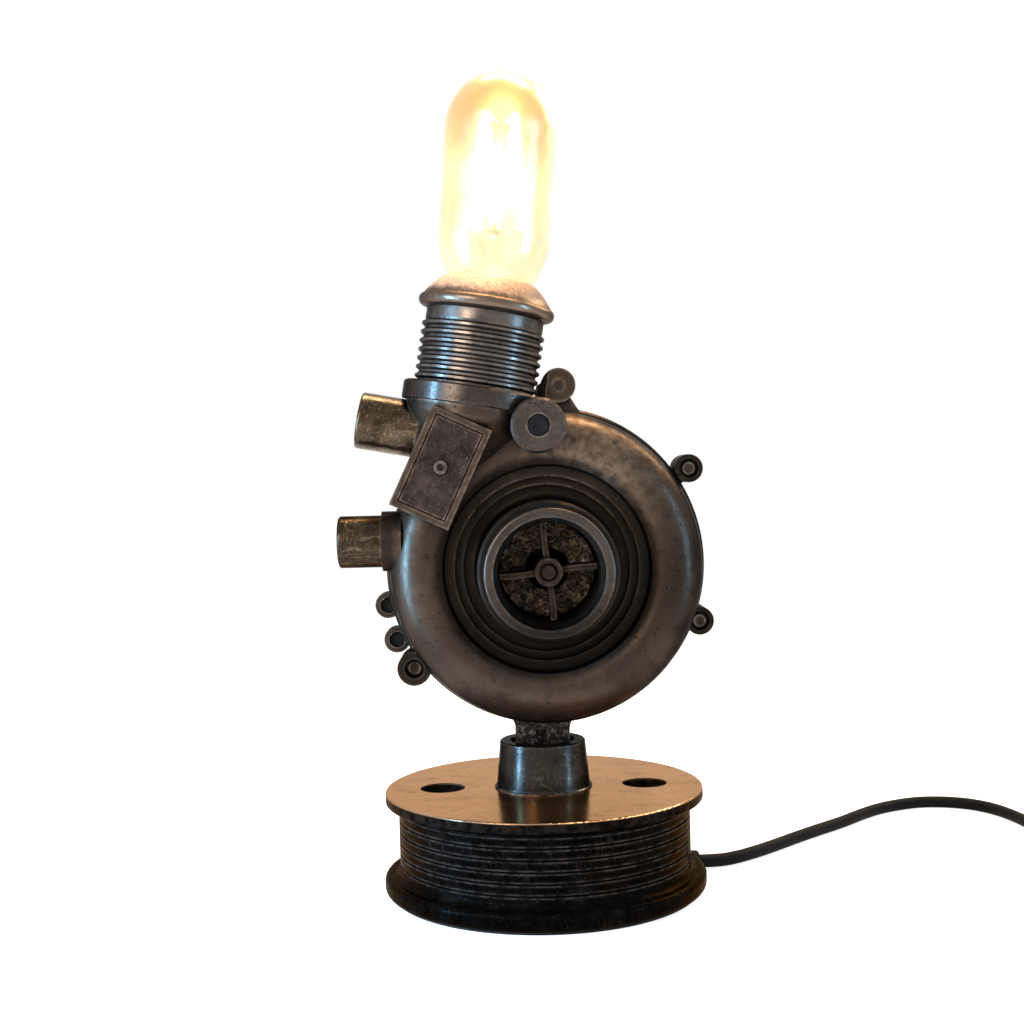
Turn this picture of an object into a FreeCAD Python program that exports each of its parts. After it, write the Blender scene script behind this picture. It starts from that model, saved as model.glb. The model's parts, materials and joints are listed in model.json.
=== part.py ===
# An upcycled table lamp: a blower volute stands on a belt pulley, a smaller
# pulley on its outlet holds a tubular bulb. Millimetres, +Z up, the inlet looks
# along -Y, and the origin is under the middle of the base.
import FreeCAD
import Part
import math
import os

Vec = FreeCAD.Vector
os.makedirs("parts", exist_ok=True)

# Clearances
press_gap = 0.02          # between a pressed or glued piece and its seat
running_gap = 0.05        # round a turning or sliding fit
joint_gap = 0.3           # between faces of pieces that move apart
thread_gap = 0.03         # between a screw and its tapped hole
hole_gap = 0.25           # round a screw in a plain hole
reach_past = 80.0         # length of a cutting shape that ends well outside the lamp's pieces

# Base pulley
base_flange_radius = 65.5
base_flange_height = 7.5
base_flange_round = 3.0
base_foot_height = 1.0
drum_inset = 6.2
drum_radius = base_flange_radius - drum_inset
drum_wall = 7.0
drum_groove_count = 6
drum_groove_pitch = 4.45
drum_groove_width = 0.9
drum_groove_depth = 1.4
run_height = 3.6
disc_inset = 0.9
disc_radius = base_flange_radius - disc_inset
disc_thickness = 4.4
disc_edge_round = 0.8
base_height = 41.9
neck_groove_width = 1.7
neck_groove_depth = 2.6
disc_hole_radius = 9.15
disc_hole_offset = 41.3

# Weight, bottom plate and felt under the base
bottom_plate_thickness = 1.5
weight_web = 8.0
wiring_pocket_room = 7.2
wiring_pocket_width = 30.0
felt_inset = 3.2
felt_radius = base_flange_radius - felt_inset
plate_screw_radius = 2.0
plate_screw_length = 9.0
plate_screw_head_radius = 3.6
plate_screw_circle = 42.0
plate_screw_count = 3

# Socket tube on the disc, and the hollow stem inside it
socket_top_radius = 17.45
socket_foot_radius = 19.0
socket_height = 19.2
socket_bore_radius = 12.9
socket_floor = 4.0
socket_step_radius = 19.9
socket_step_height = 0.7
stem_radius = 5.0
stem_bore_radius = 3.5
stem_bottom = 17.0
stem_thread_in_lug = 11.0
stem_nut_flange_radius = 11.0
stem_nut_flange_thickness = 2.0
stem_nut_flats = 17.0
stem_nut_height = 6.0

# Volute housing: radii from its own axis, depths forward from the row's Y = 0
head_x = 3.0
head_z = 131.9
flange_radius = 65.0
flange_back = -8.0
flange_thickness = 6.0
tube_circle = 49.0
tube_radius = 13.6
tube_depth = 10.0
scroll_circle = 50.2
scroll_radius = 9.4
chamber_inset = 13.5
chamber_radius = flange_radius - chamber_inset
chamber_depth = 6.0
chamber_inner_radius = 24.0
recess_radius = 41.3
recess_step_one_radius = 36.5
recess_step_two_radius = 33.2
recess_step_one_depth = 17.0
recess_step_two_depth = 13.5
recess_floor_depth = 11.0
inlet_boss_radius = 27.4
inlet_boss_depth = 38.5
inlet_neck_radius = 24.1
inlet_ring_radius = 24.9
inlet_ring_width = 5.0
inlet_depth = 50.0
inlet_mouth_radius = 21.2
inlet_bore_radius = 19.5
inlet_flare_depth = 5.5
# The inlet sleeve is turned, and pressed over a short spigot on the recess floor
sleeve_root_fillet = 3.0
sleeve_foot_depth = recess_floor_depth + sleeve_root_fillet
sleeve_spigot_wall = 3.3
sleeve_spigot_radius = inlet_bore_radius + sleeve_spigot_wall
sleeve_spigot_length = 6.0
sleeve_spigot_end_gap = 0.1
lug_width = 22.0
lug_thickness = 13.0
lug_flare_low = 64.5
lug_flare_top = 73.2
lug_flare_left = 15.5
lug_flare_right = 17.5
lug_hole_radius = 2.2
lug_hole_height = 65.5
lug_hole_depth = 4.2
wire_passage_radius = 3.2
wire_passage_back = 1.6

# Ears round the flange: angle, distance from the axis, radius, front face depth
ear_hole_radius = 3.9
ear_screw_radius = 2.5
ear_screw_length = 17.0
ear_screw_head_radius = 4.2
ear_screw_head_height = 4.0
upper_ear = (33.0, 70.2, 5.7, 3.0)
side_ear = (-21.0, 66.5, 5.7, 3.0)
lower_ear = (216.5, 67.6, 6.9, 5.0)
neck_ear = (84.7, 73.5, 7.0, 2.0)
spare_ear_one = (205.6, 68.6, 5.4)
spare_ear_two = (193.2, 66.9, 5.4)
spare_ear_hole_radius = 3.3

# Back plate with its bearing hub
gasket_thickness = 0.5
back_plate_thickness = 6.0
back_plate_inset = 0.4
back_plate_radius = flange_radius - back_plate_inset
hub_radius = 15.0
hub_front_depth = -4.0
hub_back_depth = -30.0
rib_count = 6
rib_thickness = 3.5
rib_height = 5.0
rib_reach = 57.0

# Rotor: shaft, two ball bearings, wheel and nut
bearing_bore_radius = 4.0
bearing_outer_radius = 11.0
bearing_width = 7.0
bearing_race = 2.0
bearing_ball_radius = 1.95
bearing_ball_count = 7
bearing_front_depth = -5.6
bearing_spacing = 16.0
circlip_thickness = 1.0
circlip_groove = 0.7
circlip_width = 1.6
shaft_nose_radius = 3.0
shaft_nose_depth = 41.0
wheel_disc_depth = 16.5
wheel_disc_thickness = 3.0
wheel_radius = 19.0
wheel_hub_radius = 5.2
wheel_hub_foot_radius = 8.5
wheel_front_depth = 36.5
vane_count = 4
vane_thickness = 2.2
vane_turn = 5.0
vane_bow = 0.3
wheel_nut_flats = 10.4
wheel_nut_height = 3.5

# Cover plate box and round switch boss on the front of the outlet
box_x = -37.45
box_z = 172.75
box_turn = 25.4
box_width = 24.8
box_length = 41.8
box_depth = 34.0
box_back_depth = 9.0
box_frame = 2.4
box_recess = 3.2
cover_gap = 0.5
cover_thickness = 2.6
cover_screw_radius = 1.5
cover_screw_head_radius = 2.6
cover_screw_head_height = 1.6
cover_screw_length = 8.0
boss_x = 0.6
boss_z = 188.1
boss_radius = 10.8
boss_back_depth = 6.0

# Push-button switch in the boss
switch_face_depth = 34.0
switch_flange_thickness = 2.6
switch_barrel_radius = 6.5
switch_barrel_back_depth = 14.0
button_radius = 4.3
button_collar_radius = 5.0
button_collar_thickness = 2.0
button_travel = 2.5
button_length = 7.0
button_stem_radius = 1.6
switch_floor = 3.0
spring_wire_radius = 0.35
spring_turns = 5
terminal_tab_width = 3.0
terminal_tab_length = 6.0
terminal_tab_thickness = 0.8
terminal_tab_spacing = 6.4

# Neck: the outlet cone, collar and lamp pulley share one leaning axis
neck_lean = 9.7
neck_x = -23.9
neck_y = -7.5
neck_z = 204.0
collar_radius = 28.6
collar_height = 7.6
collar_web = 3.5
collar_register_height = 1.4
collar_cavity_radius = 17.0
collar_nipple_hole_radius = 6.6
neck_top_radius = 26.6
neck_tube_length = 30.0
duct_top_radius = 17.0
collar_screw_circle = 22.3
collar_screw_radius = 1.6
collar_screw_head_radius = 3.0
collar_screw_length = 10.0
collar_screw_count = 3
pulley_crest_radius = 24.7
pulley_rib_depth = 1.3
pulley_rib_pitch = 3.5
pulley_rib_count = 7
pulley_first_crest = 2.2
pulley_plain_radius = 23.6
pulley_bore_radius = 20.9
rim_radius = 27.3
rim_bottom = 30.2
rim_bead_height = 4.4
rim_top = 43.2
mouth_radius = 17.9
mouth_lip = 1.0
grub_radius = 2.0
grub_length = 2.6
grub_height = 27.5
grub_count = 2
grub_first_angle = 45.0
grub_spacing = 90.0

# Lampholder and bulb share a second axis through the pulley's mouth
bulb_lean = 4.8
bulb_offset = 0.6
holder_radius = 16.6
holder_top = -7.0
holder_bottom = -40.0
holder_floor_top = -34.2
holder_boss_height = 2.0
holder_chamber_radius = 9.5
shell_thickness = 0.45
cap_radius = 13.1
cap_wall = 0.35
cap_top = -9.0
cap_height = 20.5
insulator_height = 2.6
insulator_bottom_radius = 7.0
contact_radius = 4.8
contact_height = 1.0
contact_strip_thickness = 0.6
contact_strip_width = 5.0
nipple_length = 14.0
wedge_radius = 9.0
nipple_nut_flats = 14.0
nipple_nut_height = 3.2
bulb_radius = 22.4
bulb_length = 116.3
bulb_wall = 0.8
bulb_shoulder_top = 18.0
bulb_throat_radius = 16.3
bulb_neck_radius = 12.4
bulb_neck_length = 5.0
mount_flare_radius = 11.6
mount_rod_radius = 2.6
mount_height = 34.0
filament_wire_radius = 0.22
filament_cage_radius = 10.8
filament_bottom = 22.0
filament_top = 66.0
filament_strands = 8
support_wire_radius = 0.35

# Hose spigots in the left side of the housing
upper_spigot_end = (-70.6, -9.0, 192.7)
upper_spigot_fall = 10.9
upper_spigot_radius = 11.3
upper_spigot_length = 31.0
lower_spigot_end = (-79.8, -9.0, 143.9)
lower_spigot_radius = 10.4
lower_spigot_length = 22.5
spigot_wall = 2.6
spigot_round = 1.2
upper_seat_depth = 7.0
lower_seat_depth = 5.0
spigot_seat_wall = 1.6
spigot_shoulder = 0.6

# Mains cord, its fixings in the base, and the plug
cord_radius = 2.75
cord_azimuth = 16.5
cord_exit_reach = 0.8
cord_exit_radius = base_flange_radius + cord_exit_reach
cord_exit_height = 3.9
cord_slope = 6.5
cord_tail_length = 36.0
grommet_wall = 1.7
grommet_length = 11.0
block_length = 17.0
block_width = 16.0
block_height = 11.0
block_screw_radius = 1.6
block_screw_spacing = 8.0
clamp_width = 7.0
clamp_setback = 2.5
clamp_thickness = 2.0
clamp_screw_radius = 1.5
clamp_screw_spacing = 11.5
lead_radius = 0.95
lead_live_y = 2.3
lead_neutral_y = -0.2
lead_nipple_offset = 1.35
lead_tab_x = 4.3
live_lead_turns = [(-60, 48.5, 6.0), (-36, 50.0, 8.0), (-12, 50.5, 9.0), (12, 50.5, 9.0), (36, 50.5, 9.0),
                   (58, 50.5, 8.0), (76, 52.5, 6.0)]
live_lead_middle = (107.0, 51.8, 8.5)
neutral_lead_turns = [(240, 48.5, 6.0), (216, 50.0, 8.0), (192, 50.5, 9.0), (168, 50.0, 9.0),
                      (148, 49.0, 9.0),
                      (132, 49.5, 9.5), (124, 54.5, 10.0)]
cord_route = [
    (77.0, 23.4, 2.8), (86.5, 29.8, 2.8), (98.5, 40.6, 2.8), (112.0, 54.8, 2.8),
    (126.0, 68.8, 2.8), (141.0, 82.6, 2.8), (154.5, 98.0, 2.8), (168.0, 110.2, 2.8),
    (184.0, 118.0, 2.8), (193.0, 118.9, 2.8), (201.8, 117.1, 2.8), (209.7, 112.7, 2.8), (215.7, 106.2, 2.8),
    (219.8, 98.0, 2.8), (222.6, 88.0, 2.8), (224.4, 77.0, 2.9), (225.2, 62.0, 3.1), (224.6, 46.0, 3.3),
    (223.0, 30.5, 3.3),
]
coil_pitch = 6.15
coil_layer_step = 6.0
coil_inner_radius = 22.5
coil_layer_turns = 3.25
coil_climb_dip = 1.2
tie_angle = 90.0
tie_width = 6.0
tie_thickness = 0.5
plug_run = [
    (221.0, -4.0, 6.6), (225.5, -17.0, 3.9), (234.5, -27.5, 2.9), (247.0, -34.5, 4.2), (260.0, -39.0, 6.6),
]
plug_length = 33.0
plug_width = 26.0
plug_height = 13.6
plug_neck_length = 14.0
plug_neck_radius = 4.6
plug_taper = 7.0
plug_pin_radius = 2.0
plug_root_radius = 2.5
plug_root_length = 6.0
plug_pin_length = 19.0
plug_pin_spacing = 18.6


def profile(start, *moves):
    """Closed face in the plane of radius and height: a pair is a line, four numbers an arc."""
    edges = []
    here = start
    for move in moves + (start,):
        end = move[-2:]
        if math.dist(here, end) < 1e-6:
            continue
        a = Vec(here[0], 0, here[1])
        b = Vec(end[0], 0, end[1])
        if len(move) == 4:
            edges.append(Part.Arc(a, Vec(move[0], 0, move[1]), b).toShape())
        else:
            edges.append(Part.LineSegment(a, b).toShape())
        here = end
    return Part.Face(Part.Wire(edges))


def turned(start, *moves):
    """Solid of revolution about Z from such a profile."""
    return profile(start, *moves).revolve(Vec(0, 0, 0), Vec(0, 0, 1), 360)


def ring(inner, outer, low, high):
    """Plain ring, or a disc where the inner radius is 0."""
    body = Part.makeCylinder(outer, high - low, Vec(0, 0, low))
    if inner > 0:
        body = body.cut(Part.makeCylinder(inner, high - low + 2, Vec(0, 0, low - 1)))
    return body


def rod(start, end, radius):
    """Round bar from one point to another."""
    line = end - start
    return Part.makeCylinder(radius, line.Length, start, line)


def block(width, depth, height, centre_x=0.0, centre_y=0.0, low=0.0):
    """Box centred in X and Y on a point, standing on a height."""
    return Part.makeBox(width, depth, height, Vec(centre_x - width / 2, centre_y - depth / 2, low))


def hexagon(flats, height, low, chamfer_radius=None):
    """Six-sided prism, with its corners chamfered by a cone where a radius is given."""
    corner = flats / math.sqrt(3)
    points = [Vec(corner * math.cos(math.radians(60 * i)), corner * math.sin(math.radians(60 * i)), low)
              for i in range(7)]
    prism = Part.Face(Part.makePolygon(points)).extrude(Vec(0, 0, height))
    if chamfer_radius:
        drop = corner - chamfer_radius
        prism = prism.common(turned((0, low), (corner + 1, low), (corner + 1, low + height - drop - 1),
                                    (chamfer_radius, low + height), (0, low + height)))
    return prism


def moved(shape, placement):
    """Copy of a shape at a placement."""
    result = shape.copy()
    result.Placement = placement.multiply(result.Placement)
    return result


def polar_copies(shape, count, first=0.0):
    """Copies of a shape spread evenly round Z."""
    copies = []
    for index in range(count):
        copy = shape.copy()
        copy.rotate(Vec(0, 0, 0), Vec(0, 0, 1), first + 360.0 * index / count)
        copies.append(copy)
    return copies


def routed_edges(points):
    """Straight runs joined by tangent arcs, and the radii of those arcs."""
    edges = []
    radii = []
    here = points[0]
    for index in range(1, len(points) - 1):
        corner = points[index]
        into = corner - points[index - 1]
        out = points[index + 1] - corner
        shorter = min(into.Length, out.Length)
        into.normalize()
        out.normalize()
        turn = into.getAngle(out)
        trim = 0.45 * shorter
        start = corner - into * trim
        end = corner + out * trim
        bend = trim / math.tan(turn / 2)
        radii.append(bend)
        inward = (out - into).normalize()
        middle = corner + inward * (bend / math.cos(turn / 2) - bend)
        if (start - here).Length > 1e-6:
            edges.append(Part.LineSegment(here, start).toShape())
        edges.append(Part.Arc(start, middle, end).toShape())
        here = end
    edges.append(Part.LineSegment(here, points[-1]).toShape())
    return edges, radii


def tube_along(edges, start, way, radius):
    """Round solid swept along such a path, its length, and how near its volume is to the ideal."""
    path = Part.Wire(edges)
    section = Part.Wire(Part.makeCircle(radius, start, way))
    tube = path.makePipeShell([section], True, False)
    share = tube.Volume / (math.pi * radius ** 2 * path.Length)
    return tube, path.Length, round(share, 4)


def routed_tube(points, radius):
    edges, radii = routed_edges(points)
    tube, length, share = tube_along(edges, points[0], points[1] - points[0], radius)
    print("routed: length", round(length, 1), "volume share", share, "least bend", round(min(radii), 1))
    return tube, length


def save(name, shapes):
    """Write one node; several solids in it stay separate."""
    solids = []
    for shape in shapes if isinstance(shapes, list) else [shapes]:
        solids.extend(shape.Solids)
    result = solids[0] if len(solids) == 1 else Part.makeCompound(solids)
    if not result.isValid():
        print("not valid:", name)
    result.exportStep("parts/" + name + ".step")
    return result


# Frames: the head looks along -Y, the neck and the bulb lean to +X
head_frame = FreeCAD.Placement(Vec(head_x, 0, head_z), FreeCAD.Rotation(Vec(1, 0, 0), 90))
neck_frame = FreeCAD.Placement(Vec(neck_x, neck_y, neck_z), FreeCAD.Rotation(Vec(0, 1, 0), neck_lean))
mouth_centre = neck_frame.multVec(Vec(0, 0, rim_top))
bulb_frame = FreeCAD.Placement(mouth_centre + Vec(bulb_offset, 0, 0),
                               FreeCAD.Rotation(Vec(0, 1, 0), bulb_lean))
cord_frame = FreeCAD.Placement(Vec(0, 0, 0), FreeCAD.Rotation(Vec(0, 0, 1), cord_azimuth))


def head(shape):
    return moved(shape, head_frame)


def neck(shape):
    return moved(shape, neck_frame)


def lamp(shape):
    return moved(shape, bulb_frame)


def head_point(angle, distance, depth):
    """Point in the row from polar coordinates round the head's axis."""
    a = math.radians(angle)
    return head_frame.multVec(Vec(distance * math.cos(a), distance * math.sin(a), depth))


# Base
weight_top = base_height - disc_thickness - press_gap
drum_inner_radius = drum_radius - drum_wall
plate_top = base_foot_height + bottom_plate_thickness
weight_radius = drum_inner_radius - press_gap
pocket_top = weight_top - weight_web
socket_top = base_height + socket_height
lug_bottom = base_height + socket_floor
cord_axis_start = cord_frame.multVec(Vec(cord_exit_radius, 0, cord_exit_height))
cord_direction = cord_frame.multVec(Vec(-math.cos(math.radians(cord_slope)), 0,
                                        math.sin(math.radians(cord_slope))))
cord_tail_end = cord_axis_start + cord_direction * cord_tail_length


def grommet_body(extra):
    """Rubber bush round the cord in the rim, cut flat above the floor."""
    start = cord_axis_start - cord_direction * (0.8 + extra)
    bush = rod(start, start + cord_direction * (grommet_length + 2 * extra),
               cord_radius + grommet_wall + extra)
    keep = block(2 * reach_past, 2 * reach_past, reach_past, low=base_foot_height + 0.2 - extra)
    return bush.common(keep)


def make_base_pulley():
    bottom = base_foot_height
    flange_top = bottom + base_flange_height
    run_top = flange_top + run_height
    side = base_flange_radius
    low_round = base_flange_round
    disc_low = base_height - disc_thickness
    body = turned(
        (drum_inner_radius, bottom), (side - low_round, bottom),
        (side - 0.29 * low_round, bottom + 0.29 * low_round, side, bottom + low_round),
        (side, flange_top - 2.4),
        (side - 0.7, flange_top - 0.7, side - 2.4, flange_top),
        (drum_radius + 2.2, flange_top),
        (drum_radius + 0.65, flange_top + 1.1, drum_radius, run_top),
        (drum_radius, disc_low - 0.6),
        (disc_radius - disc_edge_round, disc_low),
        (disc_radius - 0.29 * disc_edge_round, disc_low + 0.29 * disc_edge_round,
         disc_radius, disc_low + disc_edge_round),
        (disc_radius, base_height - disc_edge_round),
        (disc_radius - 0.29 * disc_edge_round, base_height - 0.29 * disc_edge_round,
         disc_radius - disc_edge_round, base_height),
        (stem_radius + hole_gap, base_height), (stem_radius + hole_gap, disc_low),
        (drum_inner_radius, disc_low))
    body = body.cut(ring(drum_radius - neck_groove_depth, disc_radius + 1,
                         disc_low - 0.6 - neck_groove_width, disc_low - 0.6))
    for index in range(drum_groove_count):
        low = run_top + 0.6 + drum_groove_pitch * index
        body = body.cut(ring(drum_radius - drum_groove_depth, drum_radius + 1, low,
                             low + drum_groove_width))
    for side_sign in (-1, 1):
        body = body.cut(Part.makeCylinder(disc_hole_radius, disc_thickness + 2,
                                          Vec(side_sign * disc_hole_offset, 0, disc_low - 1)))
    notch = grommet_body(press_gap)
    slot_width = 2 * (cord_radius + grommet_wall + press_gap)
    mouth = block(2 * grommet_length, slot_width, cord_exit_height, cord_exit_radius, 0, -1)
    body = body.cut(notch).cut(moved(mouth,
                                     cord_frame).common(ring(0, reach_past, -1, cord_exit_height - 0.9)))
    return save("base_pulley", body.cut(rod(cord_axis_start, cord_tail_end, cord_radius + 0.4)))


def make_base_fillings():
    weight = ring(stem_radius + hole_gap, weight_radius, plate_top, weight_top)
    pocket_end = cord_exit_radius - cord_tail_length + clamp_width + clamp_setback + wiring_pocket_room
    pocket_length = pocket_end + wiring_pocket_width / 2
    pocket_shift = pocket_length / 2 - wiring_pocket_width / 2
    pocket = block(pocket_length, wiring_pocket_width, pocket_top - plate_top + 1, pocket_shift, 0,
                   plate_top - 1)
    weight = weight.cut(moved(pocket, cord_frame))
    weight = weight.cut(grommet_body(press_gap)).cut(rod(cord_axis_start, cord_tail_end, cord_radius + 0.6))
    plate = ring(0, weight_radius, base_foot_height, plate_top).cut(grommet_body(press_gap))
    hole = ring(0, plate_screw_radius + thread_gap, 0, base_foot_height + plate_screw_length + 0.5)
    head_low = base_foot_height + 0.1
    sink = turned((0, head_low - 1), (plate_screw_head_radius + 1, head_low - 1),
                  (plate_screw_head_radius + thread_gap, head_low), (plate_screw_radius, plate_top - 0.2),
                  (0, plate_top - 0.2))
    screw = turned((0, head_low), (plate_screw_head_radius, head_low),
                   (plate_screw_radius, plate_top - 0.2),
                   (plate_screw_radius, head_low + plate_screw_length), (0, head_low + plate_screw_length))
    for shape in (hole, sink, screw):
        shape.translate(Vec(plate_screw_circle, 0, 0))
    turn = cord_azimuth + 60
    for tool in polar_copies(hole, plate_screw_count, turn) + polar_copies(sink, plate_screw_count, turn):
        plate = plate.cut(tool)
        weight = weight.cut(tool)
    screws = polar_copies(screw, plate_screw_count, turn)
    felt = ring(0, felt_radius, 0, base_foot_height - press_gap)
    save("ballast_weight", weight)
    save("bottom_plate", plate)
    save("bottom_plate_screws", screws)
    save("felt_pad", felt)


def make_stem():
    socket = turned(
        (stem_radius + hole_gap, base_height), (socket_step_radius, base_height),
        (socket_step_radius, base_height + socket_step_height - 0.2),
        (socket_step_radius - 0.2, base_height + socket_step_height),
        (socket_foot_radius, base_height + socket_step_height), (socket_top_radius, socket_top - 0.5),
        (socket_top_radius - 0.5, socket_top), (socket_bore_radius + 0.4, socket_top),
        (socket_bore_radius, socket_top - 0.4), (socket_bore_radius, lug_bottom),
        (stem_radius + hole_gap, lug_bottom))
    save("hub_socket", socket)
    save("stem_tube", ring(stem_bore_radius, stem_radius, stem_bottom, lug_bottom + stem_thread_in_lug))
    flange_low = pocket_top - stem_nut_flange_thickness
    nut = hexagon(stem_nut_flats, stem_nut_height, flange_low - stem_nut_height)
    nut = nut.fuse(ring(0, stem_nut_flange_radius, flange_low, pocket_top))
    save("stem_nut", nut.cut(ring(0, stem_radius + thread_gap, flange_low - 20, pocket_top + 1)))


def make_wiring_block():
    """Terminal block, cord clamp and the sheathed end of the cord in the wiring pocket."""
    floor = plate_top
    x_mid = cord_exit_radius - cord_tail_length - block_length / 2 - 0.2
    body = block(block_length, block_width, block_height, x_mid, 0, floor)
    screws = []
    for side in (-1, 1):
        for end in (-1, 1):
            x = x_mid + end * block_length / 4
            y = side * block_screw_spacing / 2
            top = floor + block_height
            body = body.cut(Part.makeCylinder(block_screw_radius + thread_gap, 5, Vec(x, y, top - 4.5)))
            screw = Part.makeCylinder(block_screw_radius, 3.5, Vec(x, y, top - 4.3))
            screw = screw.cut(block(2 * block_screw_radius, 0.5, 0.8, x, y, top - 1.4))
            screws.append(moved(screw, cord_frame))
    save("terminal_block", moved(body, cord_frame))
    save("terminal_screws", screws)
    x_clamp = cord_exit_radius - cord_tail_length + clamp_width / 2 + clamp_setback
    along = cord_exit_radius - x_clamp
    cord_z = cord_exit_height + along * math.tan(math.radians(cord_slope))
    strap_top = cord_z + cord_radius + clamp_thickness + 0.35
    strap = block(clamp_width, clamp_screw_spacing + 7, strap_top - floor, x_clamp, 0, floor)
    strap = moved(strap, cord_frame)
    strap = strap.cut(rod(cord_axis_start, cord_tail_end, cord_radius + press_gap))
    clamp_screws = []
    for side in (-1, 1):
        y = side * clamp_screw_spacing / 2
        hole = Part.makeCylinder(clamp_screw_radius + thread_gap, 6, Vec(x_clamp, y, strap_top - 5))
        strap = strap.cut(moved(hole, cord_frame))
        screw = Part.makeCylinder(clamp_screw_radius, 4.5, Vec(x_clamp, y, strap_top - 4.5))
        screw = screw.fuse(Part.makeCylinder(clamp_screw_radius * 1.8, 1.6, Vec(x_clamp, y, strap_top)))
        screw = screw.cut(block(6, 0.6, 1.0, x_clamp, y, strap_top + 0.9))
        clamp_screws.append(moved(screw, cord_frame))
    save("cord_clamp", strap)
    save("cord_clamp_screws", clamp_screws)
    save("cord_grommet", grommet_body(0).cut(rod(cord_axis_start - cord_direction * 5, cord_tail_end,
                                                 cord_radius + press_gap)))
    save("cord_tail", rod(cord_axis_start, cord_tail_end, cord_radius))


# Head
def ear_solid(ear, low):
    """Round ear on a short stalk towards the flange, from a depth up to its front face."""
    angle, distance, radius, front = ear
    a = math.radians(angle)
    x = distance * math.cos(a)
    y = distance * math.sin(a)
    post = Part.makeCylinder(radius, front - low, Vec(x, y, low))
    stalk = block(distance, radius * 1.3, flange_back + flange_thickness - low, distance / 2, 0, low)
    stalk.rotate(Vec(0, 0, 0), Vec(0, 0, 1), angle)
    return post.fuse(stalk.cut(ring(0, chamber_radius + 3, low - 1, front + 1)))


def at_ear(ear, radius, low, high):
    a = math.radians(ear[0])
    return Part.makeCylinder(radius, high - low, Vec(ear[1] * math.cos(a), ear[1] * math.sin(a), low))


screw_ears = [upper_ear, side_ear, lower_ear, neck_ear]
plate_front = flange_back - gasket_thickness
plate_back = plate_front - back_plate_thickness


def box_solid(width, length, low, high):
    """Block on the turned axes of the cover plate box, in the head's own frame."""
    shape = block(width, length, high - low, 0, 0, low)
    shape.rotate(Vec(0, 0, 0), Vec(0, 0, 1), -box_turn)
    shape.translate(Vec(box_x - head_x, box_z - head_z, 0))
    return shape


def spigot_frame(end, fall):
    """Frame at a spigot's free end whose Z runs into the housing."""
    return FreeCAD.Placement(Vec(*end), FreeCAD.Rotation(Vec(0, 1, 0), 90 + fall))


upper_spigot_frame = spigot_frame(upper_spigot_end, upper_spigot_fall)
lower_spigot_frame = spigot_frame(lower_spigot_end, 0)
spigots = {
    "upper_spigot": (upper_spigot_frame, upper_spigot_radius, upper_spigot_length, upper_seat_depth),
    "lower_spigot": (lower_spigot_frame, lower_spigot_radius, lower_spigot_length, lower_seat_depth)}


def switch_boss(radius, low, high):
    """Cylinder on the switch's axis."""
    return head(Part.makeCylinder(radius, high - low, Vec(boss_x - head_x, boss_z - head_z, low)))


def collar_room():
    """Space kept for the collar and the lamp pulley, down to the collar's underside."""
    return ring(0, collar_radius + joint_gap, -collar_height, rim_top)


def lug_flare():
    """The lug's top, which widens on a concave curve into the underside of the volute."""
    half = lug_width / 2
    rise = lug_flare_top - lug_flare_low
    bend_height = lug_flare_low + 0.71 * rise
    left_bend = half + 0.29 * (lug_flare_left - half)
    right_bend = half + 0.29 * (lug_flare_right - half)
    inside = head_z - tube_circle
    face = profile((-half, lug_flare_low), (-left_bend, bend_height, -lug_flare_left, lug_flare_top),
                   (-half, inside), (half, inside), (lug_flare_right, lug_flare_top),
                   (right_bend, bend_height, half, lug_flare_low))
    face.translate(Vec(0, -lug_thickness / 2, 0))
    return face.extrude(Vec(0, lug_thickness, 0))


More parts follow.
